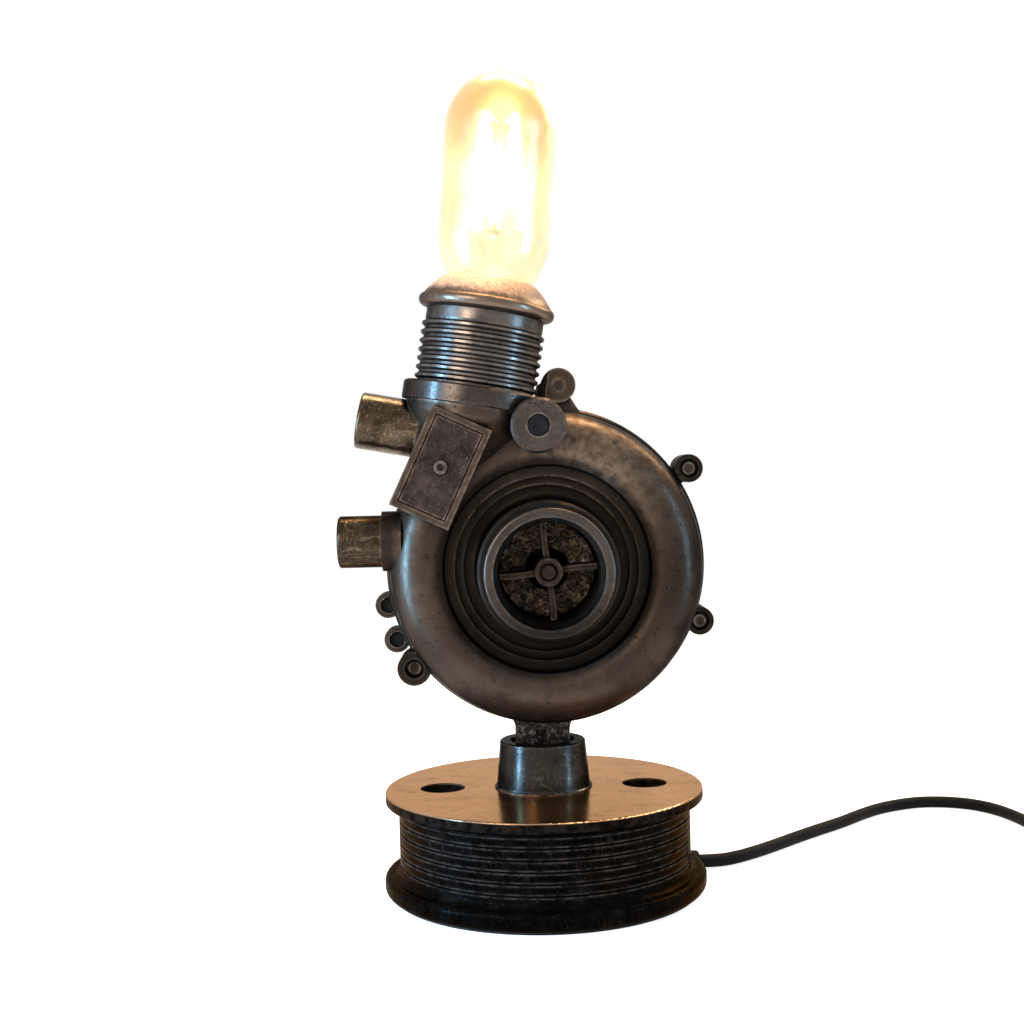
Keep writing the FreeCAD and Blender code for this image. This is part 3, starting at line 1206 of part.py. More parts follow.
def make_bulb():
    cap_bottom = cap_top - cap_height
    skin = cap_radius
    cap = turned((skin - cap_wall, cap_top), (skin, cap_top), (skin, cap_bottom + 1.5),
                 (skin - 1.6, cap_bottom), (skin - 1.6 - cap_wall, cap_bottom + 0.3),
                 (skin - cap_wall, cap_bottom + 1.7))
    low = cap_bottom - insulator_height
    insulator = turned((0, cap_bottom + 0.3 - press_gap),
                       (skin - 1.6 - cap_wall - press_gap, cap_bottom + 0.3 - press_gap),
                       (skin - 1.9 - cap_wall, cap_bottom - press_gap), (insulator_bottom_radius, low),
                       (0, low))
    contact = turned((0, low - press_gap), (contact_radius, low - press_gap),
                     (contact_radius - 0.8, low - contact_height), (0, low - contact_height))
    save("bulb_cap", lamp(cap))
    save("bulb_insulator", lamp(insulator))
    save("bulb_contact", lamp(contact))
    top = cap_bottom - insulator_height - contact_height + bulb_length
    dome = top - bulb_radius
    neck_low = cap_top - bulb_neck_length
    r = bulb_radius
    w = bulb_wall
    half = math.sqrt(0.5)
    shoulder = bulb_shoulder_top
    throat = bulb_throat_radius
    n = bulb_neck_radius
    glass = turned(
        (n - w, neck_low), (n, neck_low), (n, cap_top + 0.5), (throat, -1.0),
        (r - 1.6, shoulder * 0.48, r, shoulder), (r, dome), (r * half, dome + r * half, 0, top),
        (0, top - w), ((r - w) * half, dome + (r - w) * half, r - w, dome), (r - w, shoulder),
        (r - w - 1.6, shoulder * 0.48, throat - w, -0.9), (n - w, cap_top + 0.7))
    save("bulb_glass", lamp(glass))
    inner = n - w - press_gap
    mount = turned((0, neck_low + 0.2), (inner, neck_low + 0.2), (inner, neck_low + 0.9),
                   (mount_rod_radius + 2, neck_low + 9), (mount_rod_radius, neck_low + 14),
                   (mount_rod_radius, neck_low + mount_height - 2),
                   (mount_rod_radius + 1.2, neck_low + mount_height - 1),
                   (mount_rod_radius + 1.2, neck_low + mount_height), (1.0, neck_low + mount_height + 1),
                   (1.0, filament_top - 2.0), (0, filament_top - 2.0))
    save("bulb_mount", lamp(mount))
    wires = []
    strands = filament_strands
    for index in range(strands):
        a0 = 2 * math.pi * index / strands
        a1 = 2 * math.pi * (index + 1) / strands
        low_point = Vec(filament_cage_radius * math.cos(a0), filament_cage_radius * math.sin(a0),
                        filament_bottom)
        high_point = Vec(filament_cage_radius * 0.75 * math.cos(a1),
                         filament_cage_radius * 0.75 * math.sin(a1),
                         filament_top)
        if index % 2:
            low_point = Vec(filament_cage_radius * math.cos(a1), filament_cage_radius * math.sin(a1),
                            filament_bottom)
            high_point = Vec(filament_cage_radius * 0.75 * math.cos(a0),
                             filament_cage_radius * 0.75 * math.sin(a0),
                             filament_top)
        wires.append(rod(low_point, high_point, filament_wire_radius))
    gap = 2 * math.pi / strands
    coil = wires[0]
    for wire in wires[1:]:
        coil = coil.fuse(wire)
    for index in range(0, strands):
        a = gap * index
        radius = filament_cage_radius if index % 2 == 0 else filament_cage_radius * 0.75
        height = filament_bottom if index % 2 == 0 else filament_top
        coil = coil.fuse(Part.makeSphere(filament_wire_radius * 1.05,
                                         Vec(radius * math.cos(a), radius * math.sin(a), height)))
    save("filament", lamp(coil))
    supports = []
    for index in range(strands):
        a = gap * index
        low_end = index % 2 == 0
        radius = filament_cage_radius if low_end else filament_cage_radius * 0.75
        height = filament_bottom if low_end else filament_top
        inner_height = neck_low + mount_height - 0.5 if low_end else filament_top - 3.0
        inner_radius = mount_rod_radius + 1.3 if low_end else 1.1
        end_radius = radius - filament_wire_radius - support_wire_radius - 0.05
        supports.append(rod(Vec(inner_radius * math.cos(a), inner_radius * math.sin(a), inner_height),
                            Vec(end_radius * math.cos(a), end_radius * math.sin(a), height),
                            support_wire_radius))
    save("filament_supports", [lamp(s) for s in supports])


# Leads inside the lamp, then the cord, its coil and the plug
def make_leads():
    """Live lead to the switch and on to the holder, neutral lead straight to the holder."""
    end = cord_exit_radius - cord_tail_length - block_length - 0.25
    low = plate_top + block_height / 2
    turn_height = head_z - chamber_radius + 7.6
    half = block_screw_spacing / 2
    runs = []
    for side, y in ((1, lead_live_y), (-1, lead_neutral_y)):
        runs.append([cord_frame.multVec(Vec(end, side * half, low)),
                     cord_frame.multVec(Vec(end - 3, side * half, low)),
                     Vec(0, y, stem_bottom - 5), Vec(0, y, turn_height),
                     Vec(side * 11, y - 2.2, turn_height + 0.3)])
    live, neutral = runs
    for angle, distance, depth in live_lead_turns:
        live.append(head_point(angle, distance, depth))
    tab_face = terminal_tab_spacing / 2 + terminal_tab_thickness / 2 + lead_radius + press_gap
    end_depth = switch_barrel_back_depth - 0.4
    start_depth = 6.0
    live += [Vec(boss_x + tab_face, -start_depth, boss_z), Vec(boss_x + tab_face, -end_depth, boss_z)]
    strip_low = holder_floor_top - press_gap
    side = lead_nipple_offset
    second = [Vec(boss_x - tab_face, -end_depth, boss_z), Vec(boss_x - tab_face, -start_depth, boss_z),
              head_point(*live_lead_middle), bulb_frame.multVec(Vec(side, 0, holder_bottom - 23)),
              bulb_frame.multVec(Vec(side, 0, strip_low))]
    for angle, distance, depth in neutral_lead_turns:
        neutral.append(head_point(angle, distance, depth))
    slant = lead_tab_x - side
    rise = holder_bottom - strip_low
    drop = lead_radius * slant / math.hypot(slant, rise)
    neutral += [bulb_frame.multVec(Vec(-side, 0, holder_bottom - 22)),
                bulb_frame.multVec(Vec(-side, 0, holder_bottom)),
                bulb_frame.multVec(Vec(-lead_tab_x, 0, strip_low - drop))]
    save("live_leads", [routed_tube(live, lead_radius)[0], routed_tube(second, lead_radius)[0]])
    save("neutral_lead", routed_tube(neutral, lead_radius)[0])


def biarc(start, start_way, end, end_way):
    """Two arcs that leave one point and reach another along given unit directions."""
    span = end - start
    ways = start_way + end_way
    share = 2 * (1 - start_way.dot(end_way))
    along = span.dot(ways)
    if share < 1e-9:
        reach = span.Length ** 2 / (4 * span.dot(end_way))
    else:
        reach = (-along + math.sqrt(along ** 2 + share * span.Length ** 2)) / share
    first = start + start_way * reach
    second = end - end_way * reach
    joint = (first + second) * 0.5
    edges = []
    for a, corner, b in ((start, first, joint), (joint, second, end)):
        chord = (b - a).Length / 2
        rise = (corner - (a + b) * 0.5).Length
        leg = (corner - a).Length
        bow = chord * (leg - chord) / rise
        middle = (a + b) * 0.5 + (corner - (a + b) * 0.5).normalize() * bow
        edges.append(Part.Arc(a, middle, b).toShape())
    return edges


def coil_point(turn):
    """Centre line of the coil after so many turns: in, up a layer, and out again."""
    outer = coil_inner_radius + coil_pitch * coil_layer_turns
    climb_end = coil_layer_turns + 0.5
    if turn <= coil_layer_turns:
        radius = outer - coil_pitch * turn
        height = 0.0
    elif turn >= climb_end:
        radius = coil_inner_radius + coil_pitch * (turn - climb_end)
        height = coil_layer_step
    else:
        share = (turn - coil_layer_turns) / 0.5
        radius = coil_inner_radius - coil_climb_dip * math.sin(math.pi * share) ** 2
        height = coil_layer_step * share ** 2 * (3 - 2 * share)
    angle = 2 * math.pi * turn
    return Vec(radius * math.cos(angle), radius * math.sin(angle), height)


def coil_way(turn):
    step = 1e-4
    return (coil_point(turn + step) - coil_point(turn - step)).normalize()


coil_turns = 2 * coil_layer_turns + 0.5
route_end = Vec(*cord_route[-1])
route_way = (route_end - Vec(*cord_route[-2]))
route_way.z = 0
route_way.normalize()
coil_start_way = coil_way(0)
coil_spin = math.degrees(math.atan2(route_way.y, route_way.x)
                         - math.atan2(coil_start_way.y, coil_start_way.x))
coil_rotation = FreeCAD.Rotation(Vec(0, 0, 1), coil_spin)
straight_end = 2 * cord_radius
coil_origin = route_end + route_way * straight_end - coil_rotation.multVec(coil_point(0))
coil_frame = FreeCAD.Placement(coil_origin, coil_rotation)


def make_coil():
    """Free length wound into a neat coil of two layers, then the run to the plug."""
    first = coil_point(0)
    first_way = coil_way(0)
    edges = [Part.LineSegment(first - first_way * straight_end, first).toShape()]
    for index in range(int(round(coil_turns * 4))):
        a = index / 4
        b = (index + 1) / 4
        edges.extend(biarc(coil_point(a), coil_way(a), coil_point(b), coil_way(b)))
    last = coil_point(coil_turns)
    last_way = coil_way(coil_turns)
    run = [last, last + last_way * 14]
    run += [coil_frame.inverse().multVec(Vec(*place)) for place in plug_run]
    run_edges, radii = routed_edges(run)
    coil, length, share = tube_along(edges + run_edges, first - first_way * straight_end, first_way,
                                     cord_radius)
    count = 700
    samples = [coil_point(coil_turns * index / count) for index in range(count + 1)]
    apart = int(count / coil_turns / 2)
    least = min((samples[i] - samples[j]).Length
                for i in range(count + 1) for j in range(i + apart, count + 1))
    print("coil: length", round(length, 1), "least gap", round(least - 2 * cord_radius, 2),
          "volume share", share, "run bends", [round(r, 1) for r in radii])
    save("cord_coil", moved(coil, coil_frame))
    return length


def make_tie():
    """Flat tie round the coil's turns, on one side of it."""
    turn = tie_angle / 360
    radii = []
    index = 0
    while turn + index <= coil_turns:
        point = coil_point(turn + index)
        radii.append(math.hypot(point.x, point.y))
        index += 1
    inner = min(radii) - cord_radius - joint_gap
    outer = max(radii) + cord_radius + joint_gap
    low = -cord_radius - 0.05
    high = coil_layer_step + cord_radius + 0.15
    span = outer - inner
    thick = tie_thickness
    tie = block(span + 2 * thick, tie_width, high - low + 2 * thick, (outer + inner) / 2, 0, low - thick)
    tie = tie.cut(block(span, tie_width + 2, high - low, (outer + inner) / 2, 0, low))
    tie.rotate(Vec(0, 0, 0), Vec(0, 0, 1), tie_angle)
    save("cord_tie", moved(tie, coil_frame))


def make_cord():
    points = [cord_axis_start, cord_axis_start - cord_direction * 3.3]
    points += [Vec(*place) for place in cord_route]
    tube, length = routed_tube(points, cord_radius)
    save("cord_lead", tube)
    length += make_coil()
    make_tie()
    print("cord from the base", round(length, 1), "inside", cord_tail_length)


def make_plug():
    """Flat two-pin plug lying on the floor at the end of its cord."""
    start = Vec(*plug_run[-1])
    way = (start - Vec(*plug_run[-2])).normalize()
    flat = Vec(way.x, way.y, 0).normalize()
    frame = FreeCAD.Placement(start, FreeCAD.Rotation(Vec(1, 0, 0), flat))
    half = plug_width / 2
    low = -start.z
    mid = low + plug_height / 2
    total = plug_neck_length + plug_length
    corners = [(plug_neck_length - 4, plug_neck_radius), (plug_neck_length + plug_taper, half),
               (total - 3, half), (total, half - 3)]
    outline = [Vec(x, -y, low) for x, y in corners] + [Vec(x, y, low) for x, y in reversed(corners)]
    body = Part.Face(Part.makePolygon(outline + outline[:1])).extrude(Vec(0, 0, plug_height))
    body = body.makeChamfer(1.6, [edge for edge in body.Edges if edge.BoundBox.ZLength < 1e-6])
    body = body.fuse(rod(Vec(-2, 0, 0), Vec(plug_neck_length + 3, 0, mid), plug_neck_radius - 0.6))
    back = frame.Rotation.inverted().multVec(way)
    body = body.cut(rod(back * -20, back * press_gap, 30))
    pins = []
    for side in (-1, 1):
        face_point = Vec(total, side * plug_pin_spacing / 2, mid)
        start_point = face_point - Vec(plug_root_length, 0, 0)
        end_point = face_point + Vec(plug_pin_length, 0, 0)
        body = body.cut(rod(start_point, face_point + Vec(1, 0, 0), plug_root_radius + press_gap))
        pin = rod(face_point, end_point,
                  plug_pin_radius).fuse(rod(start_point, face_point, plug_root_radius))
        tip = Part.makeCone(plug_pin_radius, plug_pin_radius - 0.9, 1.4, end_point, Vec(1, 0, 0))
        pins.append(moved(pin.fuse(tip).removeSplitter(), frame))
    save("plug_body", moved(body, frame))
    save("plug_pins", pins)


make_base_pulley()
make_base_fillings()
make_stem()
make_wiring_block()
make_housing()
make_inlet_sleeve()
make_spigots()
make_gasket_and_back_plate()
make_bearings_and_rotor()
make_cover_plate()
make_switch()
make_collar()
make_lamp_pulley()
make_lampholder()
make_holder_seats()
make_bulb()
make_leads()
make_cord()
make_plug()
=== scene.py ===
# %% [markdown]
# # A lamp made from a blower and two belt pulleys
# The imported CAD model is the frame. It holds every rigid piece at its real size,
# so this lesson only adds what a solid can't have: finishes, light, the glowing
# filament, the grit behind the wheel's vanes and the soft line of the cord.

# %% Load the frame
import json
import math

import bmesh
import bpy
from mathutils import Matrix, Vector, noise

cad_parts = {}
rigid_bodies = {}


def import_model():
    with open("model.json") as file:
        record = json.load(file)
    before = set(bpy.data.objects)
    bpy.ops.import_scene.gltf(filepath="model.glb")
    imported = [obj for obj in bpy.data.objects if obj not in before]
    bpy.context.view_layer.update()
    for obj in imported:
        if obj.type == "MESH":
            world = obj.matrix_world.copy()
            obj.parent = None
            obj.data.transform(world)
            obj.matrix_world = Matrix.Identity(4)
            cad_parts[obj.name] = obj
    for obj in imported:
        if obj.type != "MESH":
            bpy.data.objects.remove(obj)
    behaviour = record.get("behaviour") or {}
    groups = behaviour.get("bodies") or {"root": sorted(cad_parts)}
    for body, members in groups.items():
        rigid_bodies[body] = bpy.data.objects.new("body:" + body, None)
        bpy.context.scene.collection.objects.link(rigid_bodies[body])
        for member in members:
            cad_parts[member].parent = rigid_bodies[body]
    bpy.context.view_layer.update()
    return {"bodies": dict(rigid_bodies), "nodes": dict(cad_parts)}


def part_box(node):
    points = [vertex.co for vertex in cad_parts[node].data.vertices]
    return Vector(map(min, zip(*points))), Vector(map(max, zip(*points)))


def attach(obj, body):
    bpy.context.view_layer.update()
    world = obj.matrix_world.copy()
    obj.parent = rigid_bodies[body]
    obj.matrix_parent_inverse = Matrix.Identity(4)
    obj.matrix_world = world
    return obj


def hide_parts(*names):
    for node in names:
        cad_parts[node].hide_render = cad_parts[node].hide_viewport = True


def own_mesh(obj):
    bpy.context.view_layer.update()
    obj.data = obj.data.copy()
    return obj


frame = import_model()
nodes = frame["nodes"]

# %% [markdown]
# ## The camera
# The photograph was taken a little under the middle of the lamp, almost level.
# Its place and its three directions were fitted to the round rims of the base,
# the flange and the pulleys. A camera looks along its own minus Z, so the third
# column of its matrix points backwards.

# %% Place the camera
camera_place = Vector((-0.014425, -0.590231, 0.170543))
camera_right = Vector((0.999660, -0.007898, -0.024869)).normalized()
camera_back = Vector((-0.007205, -0.999586, 0.027842)).normalized()
camera_up = camera_back.cross(camera_right).normalized()
camera_right = camera_up.cross(camera_back)
camera_data = bpy.data.cameras.new("photo_camera")
camera_data.lens = 50.98
camera_data.sensor_width = 36.0
camera_data.clip_start = 0.01
camera = bpy.data.objects.new("photo_camera", camera_data)
bpy.context.scene.collection.objects.link(camera)
turn = Matrix((camera_right, camera_up, camera_back)).transposed().to_4x4()
camera.matrix_world = Matrix.Translation(camera_place) @ turn
bpy.context.scene.camera = camera
bpy.context.scene.view_settings.view_transform = "Standard"
print("camera at", [round(v, 3) for v in camera_place])

# %% [markdown]
# ## The cord
# A mains lead is one fixed length of something springy. It leaves the base by a
# rubber bush, lies in a loose bow on the table, and the rest of its 1.76 m is
# wound into a tied coil beside the plug. One NURBS spline of order three passes
# smoothly between its control points, so no bend can be sharp. The coil's turns
# come from a loop, with the control points pushed out a little because such a
# spline runs inside the ring of its own points.

# %% Points of the cord
CORD_RADIUS = 0.00275
cord_exit = Vector((0.06357, 0.01883, 0.0039))
cord_first = cord_exit + Vector((0.9527, 0.2822, -0.1132)) * 0.0033
cord_bow = [
    (0.0770, 0.0234, 0.0028), (0.0865, 0.0298, 0.0028), (0.0985, 0.0406, 0.0028),
    (0.1120, 0.0548, 0.0028), (0.1260, 0.0688, 0.0028), (0.1410, 0.0826, 0.0028),
    (0.1545, 0.0980, 0.0028), (0.1680, 0.1102, 0.0028), (0.1840, 0.1180, 0.0028),
    (0.1930, 0.1189, 0.0028), (0.2018, 0.1171, 0.0028), (0.2097, 0.1127, 0.0028),
    (0.2157, 0.1062, 0.0028), (0.2198, 0.0980, 0.0028), (0.2226, 0.0880, 0.0028),
    (0.2244, 0.0770, 0.0029), (0.2252, 0.0620, 0.0031), (0.2246, 0.0460, 0.0033),
    (0.2230, 0.0305, 0.0033)]
plug_run = [
    (0.2210, -0.0040, 0.0066), (0.2255, -0.0170, 0.0039), (0.2345, -0.0275, 0.0029),
    (0.2470, -0.0345, 0.0042), (0.2600, -0.0390, 0.0066)]
COIL_PITCH = 0.00615
COIL_LAYER_STEP = 0.006
COIL_INNER_RADIUS = 0.0225
COIL_LAYER_TURNS = 3.25
COIL_TURNS = 7.0
COIL_CLIMB_DIP = 0.0012
POINTS_PER_TURN = 20


def coil_point(turned):
    """Centre line of the coil after so many turns: inwards, up a layer, outwards."""
    outer = COIL_INNER_RADIUS + COIL_PITCH * COIL_LAYER_TURNS
    climb_end = COIL_LAYER_TURNS + 0.5
    if turned <= COIL_LAYER_TURNS:
        radius, height = outer - COIL_PITCH * turned, 0.0
    elif turned >= climb_end:
        radius, height = COIL_INNER_RADIUS + COIL_PITCH * (turned - climb_end), COIL_LAYER_STEP
    else:
        share = (turned - COIL_LAYER_TURNS) / 0.5
        radius = COIL_INNER_RADIUS - COIL_CLIMB_DIP * math.sin(math.pi * share) ** 2
        height = COIL_LAYER_STEP * share ** 2 * (3 - 2 * share)
    angle = 2 * math.pi * turned
    return Vector((radius * math.cos(angle), radius * math.sin(angle), height))


def coil_way(turned):
    return (coil_point(turned + 1e-4) - coil_point(turned - 1e-4)).normalized()


bow_end = Vector(cord_bow[-1])
bow_way = bow_end - Vector(cord_bow[-2])
bow_way.z = 0
bow_way.normalize()
coil_start = coil_way(0)
coil_spin = math.atan2(bow_way.y, bow_way.x) - math.atan2(coil_start.y, coil_start.x)
coil_turn = Matrix.Rotation(coil_spin, 3, "Z")
coil_middle = bow_end + bow_way * 2 * CORD_RADIUS - coil_turn @ coil_point(0)
spread = 1 / math.cos(math.pi / POINTS_PER_TURN)
cord_points = [cord_exit, cord_first] + [Vector(p) for p in cord_bow]
for index in range(round(COIL_TURNS * POINTS_PER_TURN) + 1):
    place = coil_point(index / POINTS_PER_TURN)
    if 0 < index < COIL_TURNS * POINTS_PER_TURN:
        place.x *= spread
        place.y *= spread
    cord_points.append(coil_middle + coil_turn @ place)
coil_last = coil_middle + coil_turn @ coil_point(COIL_TURNS)
cord_points.append(coil_last + coil_turn @ coil_way(COIL_TURNS) * 0.014)
cord_points += [Vector(p) for p in plug_run]
print("cord points", len(cord_points), "coil middle", [round(v, 4) for v in coil_middle])

# %% Draw the cord
cord_curve = bpy.data.curves.new("mains_cord", "CURVE")
cord_curve.dimensions = "3D"
# Blender widens a curve's box by its points' radius, so the radius is kept there
cord_curve.bevel_depth = 1.0
cord_curve.bevel_resolution = 5
cord_curve.use_fill_caps = True
cord_curve.resolution_u = 5
cord_spline = cord_curve.splines.new("NURBS")
cord_spline.points.add(len(cord_points) - 1)
for point, place in zip(cord_spline.points, cord_points):
    point.co = (*place, 1.0)
    point.radius = CORD_RADIUS
cord_spline.order_u = 3
cord_spline.use_endpoint_u = True
cord = bpy.data.objects.new("mains_cord", cord_curve)
bpy.context.scene.collection.objects.link(cord)
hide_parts("cord_lead", "cord_coil")
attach(cord, "lamp")
print("cord drawn")

# %% [markdown]
# ## Floor and backdrop
# The photograph's background is white. A white surface lit hard enough to look
# pure white would also flood the dark metal with light, so the white comes from
# Light Path instead: rays from the camera, from gloss and through glass see a
# bright world, and the soft light that falls on the lamp stays plain. The floor
# adds its own diffuse light to that white, which keeps the shadow under the base.

# %% Build the floor and the world
floor_mesh = bpy.data.meshes.new("floor")
floor_form = bmesh.new()
bmesh.ops.create_grid(floor_form, x_segments=2, y_segments=2, size=4.0)
floor_form.to_mesh(floor_mesh)
floor_form.free()
floor = bpy.data.objects.new("floor", floor_mesh)
bpy.context.scene.collection.objects.link(floor)

FLOOR_GLOW = 0.80


def seen_directly(tree):
    """A mask that is 1 for rays from the camera, from gloss and through glass."""
    path = tree.nodes.new("ShaderNodeLightPath")
    first = tree.nodes.new("ShaderNodeMath")
    first.operation = "MAXIMUM"
    second = tree.nodes.new("ShaderNodeMath")
    second.operation = "MAXIMUM"
    tree.links.new(path.outputs["Is Camera Ray"], first.inputs[0])
    tree.links.new(path.outputs["Is Glossy Ray"], first.inputs[1])
    tree.links.new(first.outputs[0], second.inputs[0])
    tree.links.new(path.outputs["Is Transmission Ray"], second.inputs[1])
    return second.outputs[0]


floor_finish = bpy.data.materials.new("pale_floor")
floor_finish.use_nodes = True
floor_tree = floor_finish.node_tree
floor_shader = floor_tree.nodes["Principled BSDF"]
floor_shader.inputs["Base Color"].default_value = (0.62, 0.62, 0.62, 1)
floor_shader.inputs["Roughness"].default_value = 0.9
floor_shader.inputs["Specular IOR Level"].default_value = 0.0
floor_shader.inputs["Emission Color"].default_value = (1, 1, 1, 1)
floor_glow = floor_tree.nodes.new("ShaderNodeMath")
floor_glow.operation = "MULTIPLY"
floor_glow.inputs[1].default_value = FLOOR_GLOW
floor_tree.links.new(seen_directly(floor_tree), floor_glow.inputs[0])
floor_tree.links.new(floor_glow.outputs[0], floor_shader.inputs["Emission Strength"])
floor_mesh.materials.append(floor_finish)

WORLD_LIGHT = 0.36
world = bpy.data.worlds.new("studio")
world.use_nodes = True
bpy.context.scene.world = world
world_tree = world.node_tree
sky = world_tree.nodes["Background"]
sky.inputs["Color"].default_value = (1, 1, 1, 1)
sky_level = world_tree.nodes.new("ShaderNodeMapRange")
sky_level.inputs["To Min"].default_value = WORLD_LIGHT
sky_level.inputs["To Max"].default_value = 1.0
world_tree.links.new(seen_directly(world_tree), sky_level.inputs["Value"])
world_tree.links.new(sky_level.outputs[0], sky.inputs["Strength"])
print("floor and world")

# %% [markdown]
# ## Lights
# Round dark metal shows its form by what it mirrors. A tall narrow light on each
# side draws a long cool streak down every cylinder, as the windows did in the
# photograph. A soft key from the upper left, a light from behind on the right and
# a wide warm one overhead give the rest. The bulb's own warm light is one small
# lamp inside the glass.

# %% Place the lights
aim = Vector((0.0, 0.0, 0.15))


def soft_light(name, place, width, height, power, colour):
    """A rectangular light that faces the lamp."""
    data = bpy.data.lights.new(name, "AREA")
    data.shape = "RECTANGLE"
    data.size = width
    data.size_y = height
    data.energy = power
    data.color = colour
    light = bpy.data.objects.new(name, data)
    light.location = place
    light.rotation_euler = (aim - Vector(place)).to_track_quat("-Z", "Y").to_euler()
    bpy.context.scene.collection.objects.link(light)
    return light


soft_light("key_light", (-0.50, -0.72, 0.48), 0.40, 0.40, 5.4, (1.0, 0.88, 0.76))
soft_light("left_strip", (-0.63, -0.29, 0.17), 0.08, 0.36, 10.0, (0.20, 0.54, 1.0))
soft_light("right_strip", (0.63, -0.29, 0.15), 0.05, 0.50, 3.2, (0.26, 0.60, 1.0))
soft_light("top_light", (0.49, 0.40, 0.62), 0.40, 0.40, 6.0, (1.0, 0.80, 0.58))
soft_light("overhead_light", (0.08, 0.20, 0.84), 0.50, 0.20, 7.0, (1.0, 0.72, 0.44))
bulb_low, bulb_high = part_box("filament")
bulb_middle = (bulb_low + bulb_high) / 2
bulb_light_data = bpy.data.lights.new("bulb_light", "POINT")
bulb_light_data.energy = 0.5
bulb_light_data.color = (1.0, 0.68, 0.38)
bulb_light_data.shadow_soft_size = 0.012
bulb_light = bpy.data.objects.new("bulb_light", bulb_light_data)
bulb_light.location = bulb_middle
bulb_light.visible_transmission = False
bpy.context.scene.collection.objects.link(bulb_light)
bulb_light.parent = frame["bodies"]["bulb"]
print("bulb middle", [round(v, 4) for v in bulb_middle])

# %% [markdown]
# ## Effects that several finishes share
# Old metal wears bright on its outer edges and holds dirt in its corners. Both
# can be measured by the shader itself: ambient occlusion looked at from inside
# the solid is low near an outer edge, and from outside it is low in a corner.
# Each effect is a node group, built once, and every finish sets its own values.


# %% Helpers for node groups
def socket_in(group, name, value):
    socket = group.interface.new_socket(name, in_out="INPUT", socket_type="NodeSocketFloat")
    socket.default_value = value


def socket_out(group, name):
    group.interface.new_socket(name, in_out="OUTPUT", socket_type="NodeSocketFloat")


def new_group(name, inputs, outputs):
    """An empty group with float sockets, its tree, and its input and output nodes."""
    group = bpy.data.node_groups.new(name, "ShaderNodeTree")
    for label, value in inputs.items():
        socket_in(group, label, value)
    for label in outputs:
        socket_out(group, label)
    return group, group.nodes.new("NodeGroupInput"), group.nodes.new("NodeGroupOutput")


def wire(tree, source, target):
    """Join a socket to a socket, or put a plain number on it."""
    if isinstance(source, (int, float)):
        target.default_value = source
    else:
        tree.links.new(source, target)


def combine(tree, operation, first, second, clamp=False):
    node = tree.nodes.new("ShaderNodeMath")
    node.operation = operation
    node.use_clamp = clamp
    wire(tree, first, node.inputs[0])
    wire(tree, second, node.inputs[1])
    return node.outputs[0]


def times(tree, first, second):
    return combine(tree, "MULTIPLY", first, second)


def stretch(tree, value, low, high, to_low=0.0, to_high=1.0):
    """Map a value from one range to another, and hold it at the ends."""
    node = tree.nodes.new("ShaderNodeMapRange")
    wire(tree, value, node.inputs["Value"])
    wire(tree, low, node.inputs["From Min"])
    wire(tree, high, node.inputs["From Max"])
    wire(tree, to_low, node.inputs["To Min"])
    wire(tree, to_high, node.inputs["To Max"])
    return node.outputs[0]


def place_of(tree, scale=(1, 1, 1), turned=(0, 0, 0)):
    """Object coordinates in metres, scaled and turned by a Mapping node."""
    where = tree.nodes.new("ShaderNodeTexCoord")
    mapping = tree.nodes.new("ShaderNodeMapping")
    mapping.inputs["Scale"].default_value = scale
    mapping.inputs["Rotation"].default_value = turned
    tree.links.new(where.outputs["Object"], mapping.inputs["Vector"])
    return mapping.outputs[0]


def cloud(tree, scale, detail=3.0, rough=0.55, place=None):
    """Noise with lumps of about 1/scale metres."""
    node = tree.nodes.new("ShaderNodeTexNoise")
    wire(tree, scale, node.inputs["Scale"])
    node.inputs["Detail"].default_value = detail
    node.inputs["Roughness"].default_value = rough
    tree.links.new(place or place_of(tree), node.inputs["Vector"])
    return node.outputs[0]


print("helpers ready")


# %% Worn edges
def build_edge_wear():
    inputs = {"Reach": 0.0012, "Amount": 1.0, "Patches": 260.0}
    group, start, end = new_group("edge_wear", inputs, ["Mask"])
    inside = group.nodes.new("ShaderNodeAmbientOcclusion")
    inside.inside = True
    inside.only_local = True
    inside.samples = 6
    group.links.new(start.outputs["Reach"], inside.inputs["Distance"])
    near_edge = stretch(group, inside.outputs["AO"], 0.86, 0.55)
    patchy = stretch(group, cloud(group, start.outputs["Patches"], 4.0, 0.65), 0.40, 0.62, 0.15, 1.0)
    mask = times(group, near_edge, patchy)
    mask = combine(group, "MULTIPLY", mask, start.outputs["Amount"], clamp=True)
    group.links.new(mask, end.inputs["Mask"])
    return group


edge_wear = build_edge_wear()


# %% Dirt in corners
def build_grime():
    group, start, end = new_group("grime", {"Reach": 0.008, "Amount": 1.0, "Patches": 90.0}, ["Mask"])
    outside = group.nodes.new("ShaderNodeAmbientOcclusion")
    outside.samples = 6
    group.links.new(start.outputs["Reach"], outside.inputs["Distance"])
    corner = stretch(group, outside.outputs["AO"], 0.92, 0.35)
    stain = stretch(group, cloud(group, start.outputs["Patches"], 5.0, 0.6), 0.52, 0.72, 0.0, 0.7)
    mask = combine(group, "MAXIMUM", corner, stain)
    mask = combine(group, "MULTIPLY", mask, start.outputs["Amount"], clamp=True)
    group.links.new(mask, end.inputs["Mask"])
    return group


grime = build_grime()


